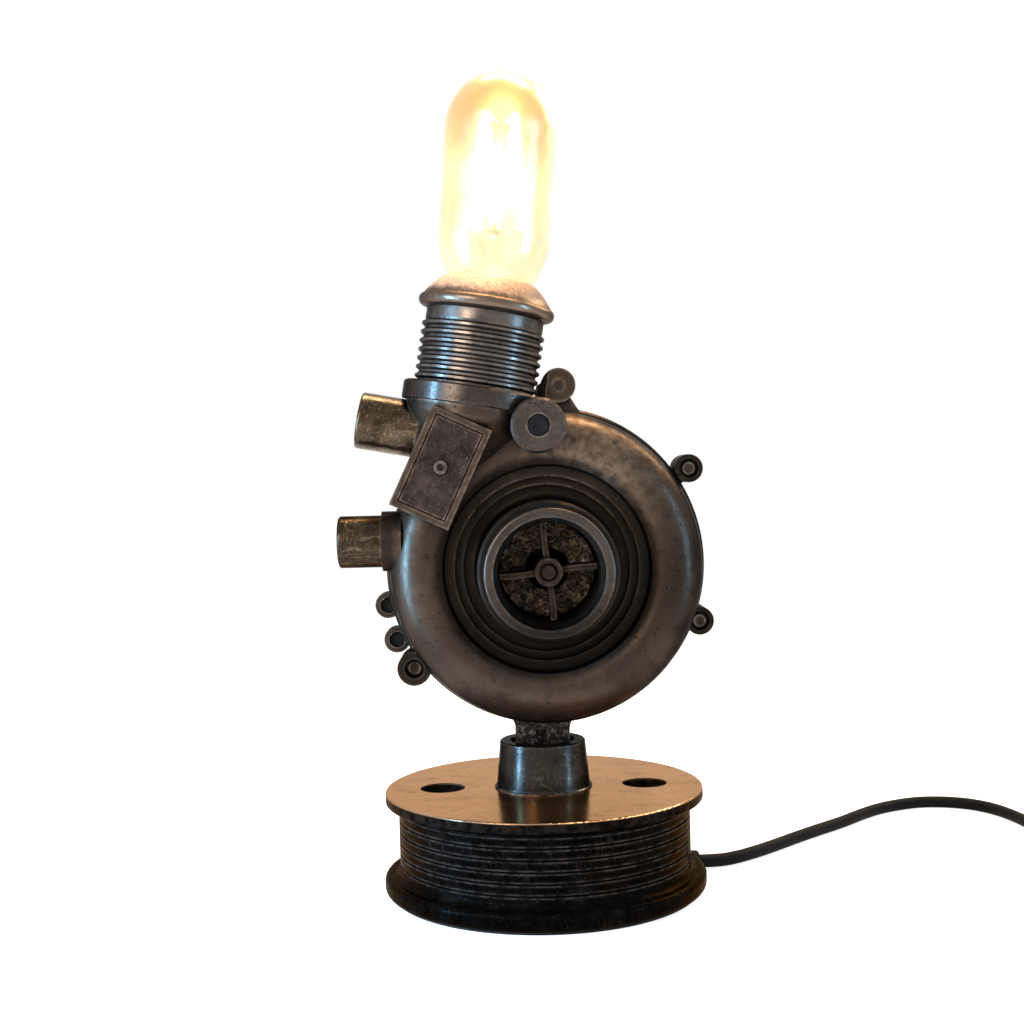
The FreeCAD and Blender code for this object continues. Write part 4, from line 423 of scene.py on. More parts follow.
# %% Grain of a sand casting
def build_cast_grain():
    group, start, end = new_group("cast_grain", {"Grain": 900.0, "Pits": 420.0}, ["Height", "Pitted"])
    fine = cloud(group, start.outputs["Grain"], 4.0, 0.6)
    broad = cloud(group, 170.0, 2.0, 0.5)
    cells = group.nodes.new("ShaderNodeTexVoronoi")
    group.links.new(start.outputs["Pits"], cells.inputs["Scale"])
    group.links.new(place_of(group), cells.inputs["Vector"])
    sparse = stretch(group, cloud(group, 120.0, 2.0, 0.5), 0.50, 0.66)
    pit = times(group, stretch(group, cells.outputs["Distance"], 0.34, 0.10), sparse)
    height = combine(group, "ADD", times(group, fine, 0.45),
                     times(group, broad, 0.9))
    height = combine(group, "SUBTRACT", height, times(group, pit, 0.6))
    group.links.new(height, end.inputs["Height"])
    group.links.new(pit, end.inputs["Pitted"])
    return group


cast_grain = build_cast_grain()


# %% Fine scratches
SCRATCH_WAYS = (
    ((40, 1400, 40), (0, 0, 0.5)),
    ((1300, 50, 50), (0, 0, 0.2)),
    ((60, 60, 1500), (0.3, 0.1, 0)))


def build_scratches():
    group, start, end = new_group("scratches", {"Amount": 1.0}, ["Mask"])
    total = None
    for scale, turned in SCRATCH_WAYS:
        lines = cloud(group, 1.0, 2.0, 0.4, place_of(group, scale, turned))
        off_middle = combine(group, "ABSOLUTE", combine(group, "SUBTRACT", lines, 0.5), 0.0)
        thin = stretch(group, off_middle, 0.018, 0.004)
        where = cloud(group, 70.0, 2.0, 0.5, place_of(group, (1, 1, 1), turned))
        thin = times(group, thin, stretch(group, where, 0.5, 0.62))
        total = thin if total is None else combine(group, "MAXIMUM", total, thin)
    mask = combine(group, "MULTIPLY", total, start.outputs["Amount"], clamp=True)
    group.links.new(mask, end.inputs["Mask"])
    return group


scratches = build_scratches()
print("groups", [g.name for g in bpy.data.node_groups])

# %% [markdown]
# ## Weathered metal
# One function makes every metal of this lamp. A tone drifts between a deep and a
# lighter shade, dirt darkens the corners, and worn edges and scratches show the
# brighter metal under it. Roughness follows the same masks, because dirt is dull
# and a rubbed edge is smooth, and the casting's grain is a small bump.


# %% Write the weathered metal
def place_group(tree, group, **values):
    node = tree.nodes.new("ShaderNodeGroup")
    node.node_tree = group
    for label, value in values.items():
        node.inputs[label].default_value = value
    return node


def blend_colours(tree, factor, first, second):
    node = tree.nodes.new("ShaderNodeMix")
    node.data_type = "RGBA"
    wire(tree, factor, node.inputs["Factor"])
    for value, socket in ((first, node.inputs[6]), (second, node.inputs[7])):
        if isinstance(value, tuple):
            socket.default_value = (*value, 1)
        else:
            tree.links.new(value, socket)
    return node.outputs[2]


def new_finish(name):
    finish = bpy.data.materials.new(name)
    finish.use_nodes = True
    return finish, finish.node_tree, finish.node_tree.nodes["Principled BSDF"]


def add_bump(tree, shader, height, distance, strength=1.0):
    bump = tree.nodes.new("ShaderNodeBump")
    bump.inputs["Distance"].default_value = distance
    bump.inputs["Strength"].default_value = strength
    tree.links.new(height, bump.inputs["Height"])
    tree.links.new(bump.outputs[0], shader.inputs["Normal"])
    return bump


def weathered_metal(name, deep, tone, worn, dirt=(0.005, 0.004, 0.003), rough=0.36, metallic=0.85,
                    wear=0.8, wear_reach=0.0012, grime_amount=0.9, grime_reach=0.008, drift=45.0,
                    grain=900.0, pits=420.0, bump=0.00008, scratch=0.15, specks=0.15, edge_tint=0.3,
                    gloss=0.35):
    """A drifting tone with dirt in its corners and bright worn edges."""
    finish, tree, shader = new_finish(name)
    drifting = stretch(tree, cloud(tree, drift, 5.0, 0.6), 0.34, 0.66)
    colour = blend_colours(tree, drifting, deep, tone)
    speck = stretch(tree, cloud(tree, 900.0, 3.0, 0.7), 0.56, 0.70, 0.0, specks)
    colour = blend_colours(tree, speck, colour, worn)
    dirty = place_group(tree, grime, Amount=grime_amount, Reach=grime_reach).outputs[0]
    casting = place_group(tree, cast_grain, Grain=grain, Pits=pits)
    pitted = times(tree, casting.outputs["Pitted"], grime_amount)
    dirty = combine(tree, "MAXIMUM", dirty, pitted)
    colour = blend_colours(tree, dirty, colour, dirt)
    rubbed = place_group(tree, edge_wear, Amount=wear, Reach=wear_reach).outputs[0]
    marks = place_group(tree, scratches, Amount=scratch).outputs[0]
    bright = combine(tree, "MAXIMUM", rubbed, marks)
    colour = blend_colours(tree, bright, colour, worn)
    tree.links.new(colour, shader.inputs["Base Color"])
    dull = stretch(tree, cloud(tree, 220.0, 4.0, 0.6), 0.3, 0.7, rough - 0.07, rough + 0.09)
    dull = combine(tree, "ADD", dull, times(tree, dirty, 0.25))
    dull = combine(tree, "SUBTRACT", dull, combine(tree, "MULTIPLY", bright, 0.12), clamp=True)
    tree.links.new(dull, shader.inputs["Roughness"])
    shader.inputs["Metallic"].default_value = metallic
    shader.inputs["Specular Tint"].default_value = (edge_tint, edge_tint, edge_tint, 1)
    shader.inputs["Specular IOR Level"].default_value = gloss
    height = combine(tree, "SUBTRACT", casting.outputs["Height"], times(tree, bright, 0.15))
    add_bump(tree, shader, height, bump)
    return finish, tree, shader, colour


def dress(names, finish):
    """Give CAD nodes one finish."""
    for name in names:
        for slot in nodes[name].material_slots:
            slot.material = finish
        print("dressed", name, finish.name)


# %% [markdown]
# ## Masks by place
# A casting isn't the same all over, and an image would be one way to paint it. A
# mask worked out from where a point lies needs no image and fits any view. Three
# kinds are enough here: how far a point is along a direction, how far it is from
# an axis along Y, and how far it is from a place.

# %% Write the masks
UP = Vector((0, 0, 1))
WHEEL_AXIS = Vector((0.003, 0, 0.1319))


def height_along(tree, origin, way):
    """Distance of a surface point along an axis, from the axis's origin."""
    where = tree.nodes.new("ShaderNodeTexCoord")
    offset = tree.nodes.new("ShaderNodeVectorMath")
    offset.operation = "SUBTRACT"
    offset.inputs[1].default_value = origin
    along = tree.nodes.new("ShaderNodeVectorMath")
    along.operation = "DOT_PRODUCT"
    along.inputs[1].default_value = way
    tree.links.new(where.outputs["Object"], offset.inputs[0])
    tree.links.new(offset.outputs[0], along.inputs[0])
    return along.outputs["Value"]


def reach_from(tree, origin):
    """Distance of a surface point from an axis along Y through the origin given."""
    where = tree.nodes.new("ShaderNodeTexCoord")
    flat = tree.nodes.new("ShaderNodeVectorMath")
    flat.operation = "MULTIPLY_ADD"
    flat.inputs[1].default_value = (1, 0, 1)
    flat.inputs[2].default_value = (-origin.x, 0, -origin.z)
    size = tree.nodes.new("ShaderNodeVectorMath")
    size.operation = "LENGTH"
    tree.links.new(where.outputs["Object"], flat.inputs[0])
    tree.links.new(flat.outputs[0], size.inputs[0])
    return size.outputs["Value"]


def distance_from(tree, place):
    """Distance of a surface point from a place."""
    where = tree.nodes.new("ShaderNodeTexCoord")
    gap = tree.nodes.new("ShaderNodeVectorMath")
    gap.operation = "DISTANCE"
    gap.inputs[1].default_value = place
    tree.links.new(where.outputs["Object"], gap.inputs[0])
    return gap.outputs["Value"]


def paint(tree, mask, share, under, over):
    """Lay a colour over another where a mask says, up to a share."""
    return blend_colours(tree, times(tree, mask, share), under, over)


print("masks ready")

# %% [markdown]
# ## The volute housing
# It is a sand casting, blackened. The recess round the inlet is darkened with painted shade, most at its bottom
# and less towards its top. The upper right has a pale painted highlight, and the right side is darkened with
# painted shade. The flange's edge and the ears are darker. The lug under it is rough and pitted.

# %% Mix the housing's metal and the recess's painted shade
RECESS_SHADE_COLOUR = (0.006, 0.0045, 0.0035)
RECESS_EDGE = 0.0413
housing_finish, tree, shader, colour = weathered_metal(
    "blackened_casting", (0.034, 0.024, 0.017), (0.074, 0.051, 0.036), (0.26, 0.19, 0.135),
    rough=0.33, bump=0.00005, wear_reach=0.0016, specks=0.10, scratch=0.08)
from_axis = reach_from(tree, WHEEL_AXIS)
above_axis = height_along(tree, WHEEL_AXIS, UP)
# Painted shade: the recess round the inlet is darkened, less towards its top, where more light falls.
recess_shade = stretch(tree, from_axis, RECESS_EDGE + 0.0004, RECESS_EDGE - 0.0004)
recess_shade_share = stretch(tree, above_axis, 0.016, 0.036, 0.82, 0.45)
colour = paint(tree, recess_shade, recess_shade_share, colour, RECESS_SHADE_COLOUR)
# Painted shade: the recess is darkened further towards its bottom.
low_side_shade = stretch(tree, above_axis, -0.010, -0.035)
colour = paint(tree, times(tree, recess_shade, low_side_shade), 0.6, colour, (0.002, 0.0015, 0.001))
print("soot inside", RECESS_EDGE)

# %% Add the housing's painted highlight, the painted shade on its right side and its darker ears
PAINTED_HIGHLIGHT_MIDDLE = WHEEL_AXIS + Vector((0.019, -0.025, 0.042))
SHADED_SIDE_WAY = Vector((0.94, 0, -0.34))
EARS_WAY = Vector((0.6, 0, -0.8))
FLANGE_EDGE = 0.0608
# Painted highlight: a pale patch on the upper right of the casting, kept out of the recess.
painted_highlight = stretch(tree, distance_from(tree, PAINTED_HIGHLIGHT_MIDDLE), 0.036, 0.010)
painted_highlight_patches = stretch(tree, cloud(tree, 260.0, 5.0, 0.65), 0.36, 0.60, 0.1, 1.0)
painted_highlight = times(tree, times(tree, painted_highlight, painted_highlight_patches), combine(tree, "SUBTRACT", 1.0, recess_shade))
colour = paint(tree, painted_highlight, 0.62, colour, (0.22, 0.155, 0.108))
# Painted shade: the right side of the casting is darkened.
right_side_shade = stretch(tree, height_along(tree, WHEEL_AXIS, SHADED_SIDE_WAY), 0.030, 0.058)
right_side_shade_patches = stretch(tree, cloud(tree, 90.0, 4.0, 0.6), 0.35, 0.6, 0.55, 1.0)
colour = paint(tree, times(tree, right_side_shade, right_side_shade_patches), 0.72, colour, (0.008, 0.006, 0.005))
# The flange's outer edge and the ears are darkened.
outer = stretch(tree, from_axis, FLANGE_EDGE - 0.0004, FLANGE_EDGE + 0.0006)
by_ears = stretch(tree, height_along(tree, WHEEL_AXIS, EARS_WAY), -0.036, -0.030)
colour = paint(tree, times(tree, outer, by_ears), 0.75, colour, (0.006, 0.005, 0.004))
print("bloom at", [round(v, 3) for v in PAINTED_HIGHLIGHT_MIDDLE])

# %% Add the dark spigot seat and the pitted lug
SEAT_MIDDLE = Vector((-0.0635, -0.0090, 0.1439))
SEAT_REACH = 0.0130
LUG_TOP = 0.0690
on_seat = stretch(tree, distance_from(tree, SEAT_MIDDLE), SEAT_REACH + 0.0012, SEAT_REACH)
colour = paint(tree, on_seat, 0.8, colour, (0.016, 0.011, 0.008))
on_lug = stretch(tree, height_along(tree, UP * LUG_TOP, UP), 0.0015, -0.0015)
lug_lumps = stretch(tree, cloud(tree, 520.0, 4.0, 0.7), 0.50, 0.62)
lug_colour = blend_colours(tree, lug_lumps, (0.012, 0.009, 0.007), (0.085, 0.070, 0.055))
colour = blend_colours(tree, on_lug, colour, lug_colour)
tree.links.new(colour, shader.inputs["Base Color"])
dress(["volute_housing"], housing_finish)

# %% [markdown]
# ## The inlet sleeve
# A turned steel sleeve stands in the recess. Its front edge is clean, the neck behind it gets the same painted
# shade as the recess, and its low side is darkened with painted shade.

# %% Dress the inlet sleeve
SLEEVE_RIM = Vector((0, -0.0450, 0))
sleeve_finish, tree, shader, colour = weathered_metal(
    "inlet_sleeve_steel", (0.042, 0.032, 0.026), (0.076, 0.060, 0.049), (0.26, 0.22, 0.18),
    rough=0.33, bump=0.00004, wear_reach=0.0016, specks=0.12)
# Painted shade: the neck behind the front edge is darkened like the recess.
behind_rim_shade = stretch(tree, height_along(tree, SLEEVE_RIM, Vector((0, 1, 0))), 0.0, 0.0010)
colour = paint(tree, behind_rim_shade, 0.70, colour, RECESS_SHADE_COLOUR)
# Painted shade: the sleeve is darkened towards its low side.
low_side_shade = stretch(tree, height_along(tree, WHEEL_AXIS, UP), -0.004, -0.022)
colour = paint(tree, low_side_shade, 0.75, colour, (0.006, 0.005, 0.004))
tree.links.new(colour, shader.inputs["Base Color"])
dress(["inlet_sleeve"], sleeve_finish)

# %% [markdown]
# ## The back plate, the collar and the wheel
# These castings need no masks. The back is rougher and darker than the front, the
# collar under the lamp pulley is smooth iron, and the wheel is dull with soot.

# %% Dress the other castings
back_finish = weathered_metal(
    "back_casting", (0.020, 0.014, 0.010), (0.045, 0.032, 0.023), (0.18, 0.135, 0.10),
    rough=0.40, bump=0.00010, specks=0.2)[0]
dress(["back_plate"], back_finish)
collar_finish = weathered_metal(
    "collar_iron", (0.040, 0.031, 0.025), (0.066, 0.052, 0.043), (0.22, 0.18, 0.15),
    rough=0.27, metallic=0.92, bump=0.00004, drift=60.0)[0]
dress(["neck_collar"], collar_finish)
wheel_finish = weathered_metal(
    "wheel_casting", (0.015, 0.010, 0.007), (0.036, 0.025, 0.018), (0.12, 0.09, 0.065),
    rough=0.45, bump=0.00018, drift=120.0, grain=700.0)[0]
dress(["impeller", "impeller_nut", "rotor_shaft"], wheel_finish)

# %% [markdown]
# ## The cover plate, the switch and the spigots
# The plate in its frame is rough and speckled. The switch is a turned steel disc round a black button. The hose
# spigots are brass gone nearly black. The upper one gets a lighter copy of that brass as a painted highlight
# where it catches the bulb's light along its top, and the lower one a darker copy as painted shade.

# %% Dress the small front pieces
plate_finish = weathered_metal(
    "rough_cover_plate", (0.018, 0.012, 0.009), (0.052, 0.036, 0.027), (0.20, 0.15, 0.11),
    rough=0.46, bump=0.00018, drift=110.0, pits=520.0, specks=0.4)[0]
dress(["cover_plate"], plate_finish)
turned_finish = weathered_metal(
    "turned_steel", (0.055, 0.041, 0.034), (0.085, 0.065, 0.055), (0.34, 0.28, 0.24),
    rough=0.34, bump=0.00004, metallic=0.9)[0]
dress(["switch_body"], turned_finish)
screw_finish = weathered_metal(
    "dark_screw", (0.022, 0.017, 0.013), (0.050, 0.039, 0.031), (0.22, 0.18, 0.15),
    rough=0.4, bump=0.00005, metallic=0.9)[0]
dress(["flange_screws", "cover_plate_screw", "collar_screws", "pulley_grub_screws"], screw_finish)

# %% Dress the spigots
# Painted shade: the lower spigot's brass is a darker copy of the upper one's.
lower_spigot_shaded_brass = weathered_metal(
    "brass_painted_shade", (0.015, 0.010, 0.007), (0.056, 0.039, 0.025), (0.34, 0.25, 0.155),
    rough=0.26, metallic=0.95, bump=0.00008, drift=90.0, scratch=0.3, specks=0.3)[0]
dress(["lower_spigot"], lower_spigot_shaded_brass)
# Painted highlight: the upper spigot's brass is a lighter copy of the lower one's.
upper_spigot_lit_brass = weathered_metal(
    "brass_painted_highlight", (0.020, 0.014, 0.009), (0.105, 0.072, 0.044), (0.55, 0.40, 0.24),
    rough=0.20, metallic=0.95, bump=0.00006, drift=90.0, scratch=0.3, specks=0.3, edge_tint=0.8)[0]
dress(["upper_spigot"], upper_spigot_lit_brass)

# %% [markdown]
# ## The stem socket and the lamp pulley
# The short tube between the disc and the blower is smooth, dark and glossy, worn
# to bare metal round its foot. The lamp pulley is dark and glossy on its ribs.
# Above them a bead is brown, and the rim over it is rubbed to a pale tan that the bulb lights strongly; on the
# rim's right side the tan is turned brown with painted shade. How far a point lies along the pulley's axis
# picks the finish, and a little noise in that height keeps the border uneven.

# %% Dress the socket
socket_finish = weathered_metal(
    "glossy_dark_steel", (0.018, 0.015, 0.012), (0.034, 0.028, 0.023), (0.24, 0.21, 0.18),
    rough=0.22, metallic=0.95, bump=0.00003, drift=70.0, wear_reach=0.0018)[0]
dress(["hub_socket"], socket_finish)

# %% Dress the lamp pulley
NECK_LEAN = math.radians(9.7)
BEAD_LOW = 0.0302
RIM_LOW = 0.0365
RIM_UNEVEN = 0.006
neck_origin = Vector((-0.0239, -0.0075, 0.2040))
neck_way = Vector((math.sin(NECK_LEAN), 0, math.cos(NECK_LEAN)))
pulley_finish, tree, shader, colour = weathered_metal(
    "glossy_black_ribs", (0.066, 0.055, 0.047), (0.150, 0.122, 0.101), (0.34, 0.27, 0.22),
    rough=0.28, metallic=0.9, bump=0.00008, drift=90.0, grime_reach=0.003)
rim_noise = times(tree, cloud(tree, 380.0, 4.0, 0.7), RIM_UNEVEN)
rim_noise = combine(tree, "SUBTRACT", rim_noise, RIM_UNEVEN / 2)
rim_height = combine(tree, "ADD", height_along(tree, neck_origin, neck_way), rim_noise)
bead_mask = stretch(tree, rim_height, BEAD_LOW - 0.0005, BEAD_LOW + 0.0005)
colour = paint(tree, bead_mask, 0.85, colour, (0.15, 0.108, 0.078))
rim_mask = stretch(tree, rim_height, RIM_LOW - 0.0008, RIM_LOW + 0.0016)
rim_speck = stretch(tree, cloud(tree, 800.0, 4.0, 0.7), 0.38, 0.62)
rim_tan = blend_colours(tree, rim_speck, (0.20, 0.135, 0.10), (0.44, 0.31, 0.22))
# Painted shade: the rim's tan turns brown on its right side, away from the light.
rim_right_shade = stretch(tree, height_along(tree, neck_origin, Vector((1, 0, 0))), 0.010, 0.026)
rim_tan = paint(tree, rim_right_shade, 0.88, rim_tan, (0.085, 0.056, 0.042))
tree.links.new(blend_colours(tree, rim_mask, colour, rim_tan), shader.inputs["Base Color"])
tree.links.new(stretch(tree, rim_mask, 0, 1, 0.9, 0.25), shader.inputs["Metallic"])
rib_rough = shader.inputs["Roughness"].links[0].from_socket
rim_rough = times(tree, rim_mask, 0.65)
tree.links.new(combine(tree, "MAXIMUM", rib_rough, rim_rough), shader.inputs["Roughness"])
dress(["lampholder_pulley"], pulley_finish)

# %% [markdown]
# ## The base pulley
# One turned piece carries three finishes: a tan, smooth disc on top that mirrors
# the socket, a black drum whose groove edges are rubbed grey, and a chipped edge
# between them. The height of a point says which of them it has.

# %% Mix the drum and the disc's edge
DISC_TOP = 0.0419
DISC_LOW = 0.0372
base_finish, tree, shader, colour = weathered_metal(
    "base_pulley_black", (0.0007, 0.0006, 0.0005), (0.0030, 0.0024, 0.0020), (0.095, 0.078, 0.064),
    rough=0.25, metallic=0.2, drift=70.0, wear=0.7, grime_reach=0.004, bump=0.00016, grain=450.0,
    gloss=0.0, specks=0.1, edge_tint=0.9)
shader.inputs["Specular Tint"].default_value = (0.84, 0.63, 0.47, 1)
base_height = height_along(tree, Vector((0, 0, 0)), UP)
on_edge = stretch(tree, base_height, DISC_LOW - 0.0004, DISC_LOW)
edge_tone = stretch(tree, cloud(tree, 300.0, 4.0, 0.65), 0.40, 0.60)
edge_colour = blend_colours(tree, edge_tone, (0.003, 0.0024, 0.002), (0.015, 0.011, 0.008))
colour = blend_colours(tree, on_edge, colour, edge_colour)
print("disc edge from", DISC_LOW)

# %% Lay the tan on the disc's top
on_top = stretch(tree, base_height, DISC_TOP - 0.0007, DISC_TOP - 0.0002)
tan_patch = stretch(tree, cloud(tree, 38.0, 5.0, 0.62), 0.32, 0.68)
tan = blend_colours(tree, tan_patch, (0.42, 0.238, 0.132), (0.53, 0.312, 0.180))
tan_stain = stretch(tree, cloud(tree, 120.0, 5.0, 0.65), 0.56, 0.70, 0.0, 0.7)
tan = blend_colours(tree, tan_stain, tan, (0.16, 0.085, 0.045))
tan_pits = stretch(tree, cloud(tree, 520.0, 4.0, 0.7), 0.60, 0.68, 0.0, 0.7)
tan = blend_colours(tree, tan_pits, tan, (0.10, 0.055, 0.030))
tan_marks = place_group(tree, scratches, Amount=0.3).outputs[0]
tan = blend_colours(tree, tan_marks, tan, (0.66, 0.44, 0.27))
tan_grime = place_group(tree, grime, Amount=1.0, Reach=0.005).outputs[0]
tan = paint(tree, tan_grime, 0.4, tan, (0.07, 0.04, 0.025))
tree.links.new(blend_colours(tree, on_top, colour, tan), shader.inputs["Base Color"])
tree.links.new(stretch(tree, on_top, 0, 1, 0.2, 1.0), shader.inputs["Metallic"])
black_rough = shader.inputs["Roughness"].links[0].from_socket
black_rough = times(tree, black_rough, stretch(tree, on_top, 0, 1, 1, 0))
tan_rough = stretch(tree, cloud(tree, 60.0, 4.0, 0.6), 0.3, 0.7, 0.15, 0.24)
tan_rough = times(tree, tan_rough, on_top)
tree.links.new(combine(tree, "ADD", black_rough, tan_rough), shader.inputs["Roughness"])
bump_strength = stretch(tree, on_top, 0, 1, 1.0, 0.15)
tree.links.new(bump_strength, tree.nodes["Bump"].inputs["Strength"])
dress(["base_pulley"], base_finish)

# %% Dress the weight seen through the holes
weight_finish = weathered_metal(
    "worn_weight", (0.10, 0.055, 0.030), (0.22, 0.125, 0.065), (0.4, 0.28, 0.18),
    rough=0.45, drift=150.0, specks=0.4)[0]
dress(["ballast_weight"], weight_finish)

# %% [markdown]
# ## Rubber, felt, plastic and the cord
# These are dull and dark, and each still has a surface: felt is fibres and moulded plastic has a fine leathery
# grain, each drawn as a fine noise in colour, roughness and bump.


# %% Dress the dull pieces
def dull_finish(name, low, high, rough, grain, bump, sheen=0.0, gloss=0.35):
    finish, tree, shader = new_finish(name)
    grainy = cloud(tree, grain, 4.0, 0.6)
    soiled = stretch(tree, cloud(tree, 60.0, 4.0, 0.6), 0.35, 0.65)
    colour = blend_colours(tree, soiled, low, high)
    dust = place_group(tree, grime, Amount=0.5, Reach=0.004).outputs[0]
    colour = blend_colours(tree, dust, colour, tuple(0.5 * c for c in low))
    tree.links.new(colour, shader.inputs["Base Color"])
    uneven = stretch(tree, grainy, 0.3, 0.7, rough - 0.08, rough + 0.08)
    tree.links.new(uneven, shader.inputs["Roughness"])
    shader.inputs["Specular IOR Level"].default_value = gloss
    shader.inputs["Sheen Weight"].default_value = sheen
    shader.inputs["Sheen Roughness"].default_value = 0.5
    add_bump(tree, shader, grainy, bump)
    return finish


cord_finish = dull_finish("cord_sheath", (0.003, 0.003, 0.003), (0.006, 0.006, 0.006), 0.65, 1500.0, 0.00004,
                          gloss=0.06)
cord_curve.materials.append(cord_finish)
dress(["cord_tail", "cord_grommet"], cord_finish)
plastic_finish = dull_finish("moulded_plastic", (0.005, 0.0045, 0.0045), (0.010, 0.009, 0.0085), 0.42, 2200.0,
                             0.00003, gloss=0.1)
dress(["plug_body", "cord_tie", "switch_button", "holder_body", "cord_clamp"], plastic_finish)
felt_finish = dull_finish("black_felt", (0.012, 0.012, 0.012), (0.030, 0.029, 0.028), 0.95, 3200.0, 0.0003,
                          sheen=0.4)
dress(["felt_pad"], felt_finish)
gasket_finish = dull_finish("gasket_paper", (0.05, 0.042, 0.034), (0.09, 0.075, 0.06), 0.8, 1200.0, 0.00005)
dress(["flange_gasket"], gasket_finish)

# %% Dress the terminal block and its leads
WIRING = (
    ("terminal_block", "white_block", (0.55, 0.54, 0.50), (0.72, 0.71, 0.68), 0.45, 900.0),
    ("live_leads", "brown_lead", (0.10, 0.045, 0.02), (0.16, 0.07, 0.03), 0.4, 1500.0),
    ("neutral_lead", "blue_lead", (0.02, 0.07, 0.26), (0.04, 0.11, 0.36), 0.4, 1500.0))
for piece, label, low, high, rough, grain in WIRING:
    dress([piece], dull_finish(label, low, high, rough, grain, 0.00003))

# %% [markdown]
# ## Bright fittings
# Bearings, screws inside the base, the bulb's cap and the plug's pins are plain steel, brass and nickel, seen
# in gaps and from below.

# %% Dress the bright fittings
steel_finish = weathered_metal("bright_steel", (0.36, 0.35, 0.33), (0.50, 0.49, 0.47), (0.7, 0.69, 0.67),
                               dirt=(0.08, 0.07, 0.06), rough=0.28, metallic=1.0, bump=0.00003)[0]
dress(["bearing_balls", "bearing_circlip", "bearing_inner_races", "bearing_outer_races", "bearing_spacer",
       "shaft_circlip", "stem_tube", "stem_nut", "bottom_plate_screws", "cord_clamp_screws",
       "holder_nipple", "holder_nut", "holder_wedges", "filament_supports"], steel_finish)
bottom_finish = weathered_metal("bottom_plate_steel", (0.16, 0.15, 0.14), (0.26, 0.25, 0.23), (0.5, 0.48, 0.45),
                                rough=0.4, metallic=0.95, bump=0.00005)[0]
dress(["bottom_plate"], bottom_finish)
brass_finish = weathered_metal("contact_brass", (0.42, 0.30, 0.12), (0.62, 0.46, 0.20), (0.8, 0.66, 0.4),
                               dirt=(0.10, 0.07, 0.03), rough=0.3, metallic=1.0, bump=0.00003)[0]
dress(["holder_shell", "holder_centre_contact", "switch_terminals", "terminal_screws"], brass_finish)
nickel_finish = weathered_metal("nickel", (0.52, 0.50, 0.46), (0.68, 0.66, 0.61), (0.85, 0.84, 0.8),
                                dirt=(0.15, 0.14, 0.12), rough=0.22, metallic=1.0, bump=0.00002)[0]
dress(["plug_pins", "bulb_cap", "bulb_contact"], nickel_finish)

# %% [markdown]
# ## The bulb
# The envelope is glass with an amber stain that deepens towards its top, and it
# is a little rough, so the bright filament behind it spreads into a soft glow.
# The glass casts no shadow, because the small lamp inside has to light the rim
# below it.

# %% Dress the glass
STAIN_WAY = Vector((0.084, 0, 0.996))
bulb_origin = Vector((-0.01602, -0.0075, 0.24658))
glass_finish, glass_tree, glass_shader = new_finish("amber_glass")
glass_drift = stretch(glass_tree, cloud(glass_tree, 40.0, 3.0, 0.5), 0.35, 0.65)
stain = stretch(glass_tree, height_along(glass_tree, bulb_origin, STAIN_WAY), 0.012, 0.080)
stain = combine(glass_tree, "ADD", stain, times(glass_tree, glass_drift, 0.15), clamp=True)
glass_tree.links.new(blend_colours(glass_tree, stain, (1.0, 0.82, 0.66), (0.96, 0.63, 0.36)),
                     glass_shader.inputs["Base Color"])
glass_tree.links.new(stretch(glass_tree, cloud(glass_tree, 300.0, 3.0, 0.6), 0.3, 0.7, 0.16, 0.26),
                     glass_shader.inputs["Roughness"])
glass_shader.inputs["Transmission Weight"].default_value = 1.0
glass_shader.inputs["IOR"].default_value = 1.45
# The glass gets a faint warm emission of its own: a painted glow round the filament.
glass_shader.inputs["Emission Color"].default_value = (1.0, 0.72, 0.34, 1)
glass_shader.inputs["Emission Strength"].default_value = 0.03
dress(["bulb_glass"], glass_finish)
nodes["bulb_glass"].visible_shadow = False
mount_finish, mount_tree, mount_shader = new_finish("mount_glass")
mount_tree.links.new(stretch(mount_tree, cloud(mount_tree, 300.0), 0.3, 0.7, 0.02, 0.1),
                     mount_shader.inputs["Roughness"])
mount_shader.inputs["Base Color"].default_value = (0.98, 0.96, 0.9, 1)
mount_shader.inputs["Transmission Weight"].default_value = 1.0
dress(["bulb_mount"], mount_finish)
nodes["bulb_mount"].visible_shadow = False
insulator_finish = dull_finish("black_glass", (0.008, 0.008, 0.009), (0.02, 0.02, 0.022), 0.15, 900.0,
                               0.00001)
dress(["bulb_insulator"], insulator_finish)

# %% [markdown]
# ## The filament
# The real filament is a tight coil that zigzags round a cage. It is drawn as that
# coil, with a helix along each strand, so it is a broad bright line from any side.

# %% Wind the filament
BULB_LEAN = math.radians(4.8)
bulb_frame = Matrix.Translation(bulb_origin) @ Matrix.Rotation(BULB_LEAN, 4, "Y")
CAGE_RADIUS = 0.0108
CAGE_TOP_SHARE = 0.75
CAGE_LOW, CAGE_HIGH = 0.022, 0.066
CAGE_POINTS = 8
HELIX_RADIUS = 0.0009
HELIX_TURNS_PER_METRE = 900
HELIX_STEPS = 6
WIRE_RADIUS = 0.00022


def cage_corner(index):
    """The filament's bends: low on the wide ring, high on the narrow one."""
    angle = 2 * math.pi * index / CAGE_POINTS
    low = index % 2 == 0
    radius = CAGE_RADIUS if low else CAGE_RADIUS * CAGE_TOP_SHARE
    return Vector((radius * math.cos(angle), radius * math.sin(angle), CAGE_LOW if low else CAGE_HIGH))


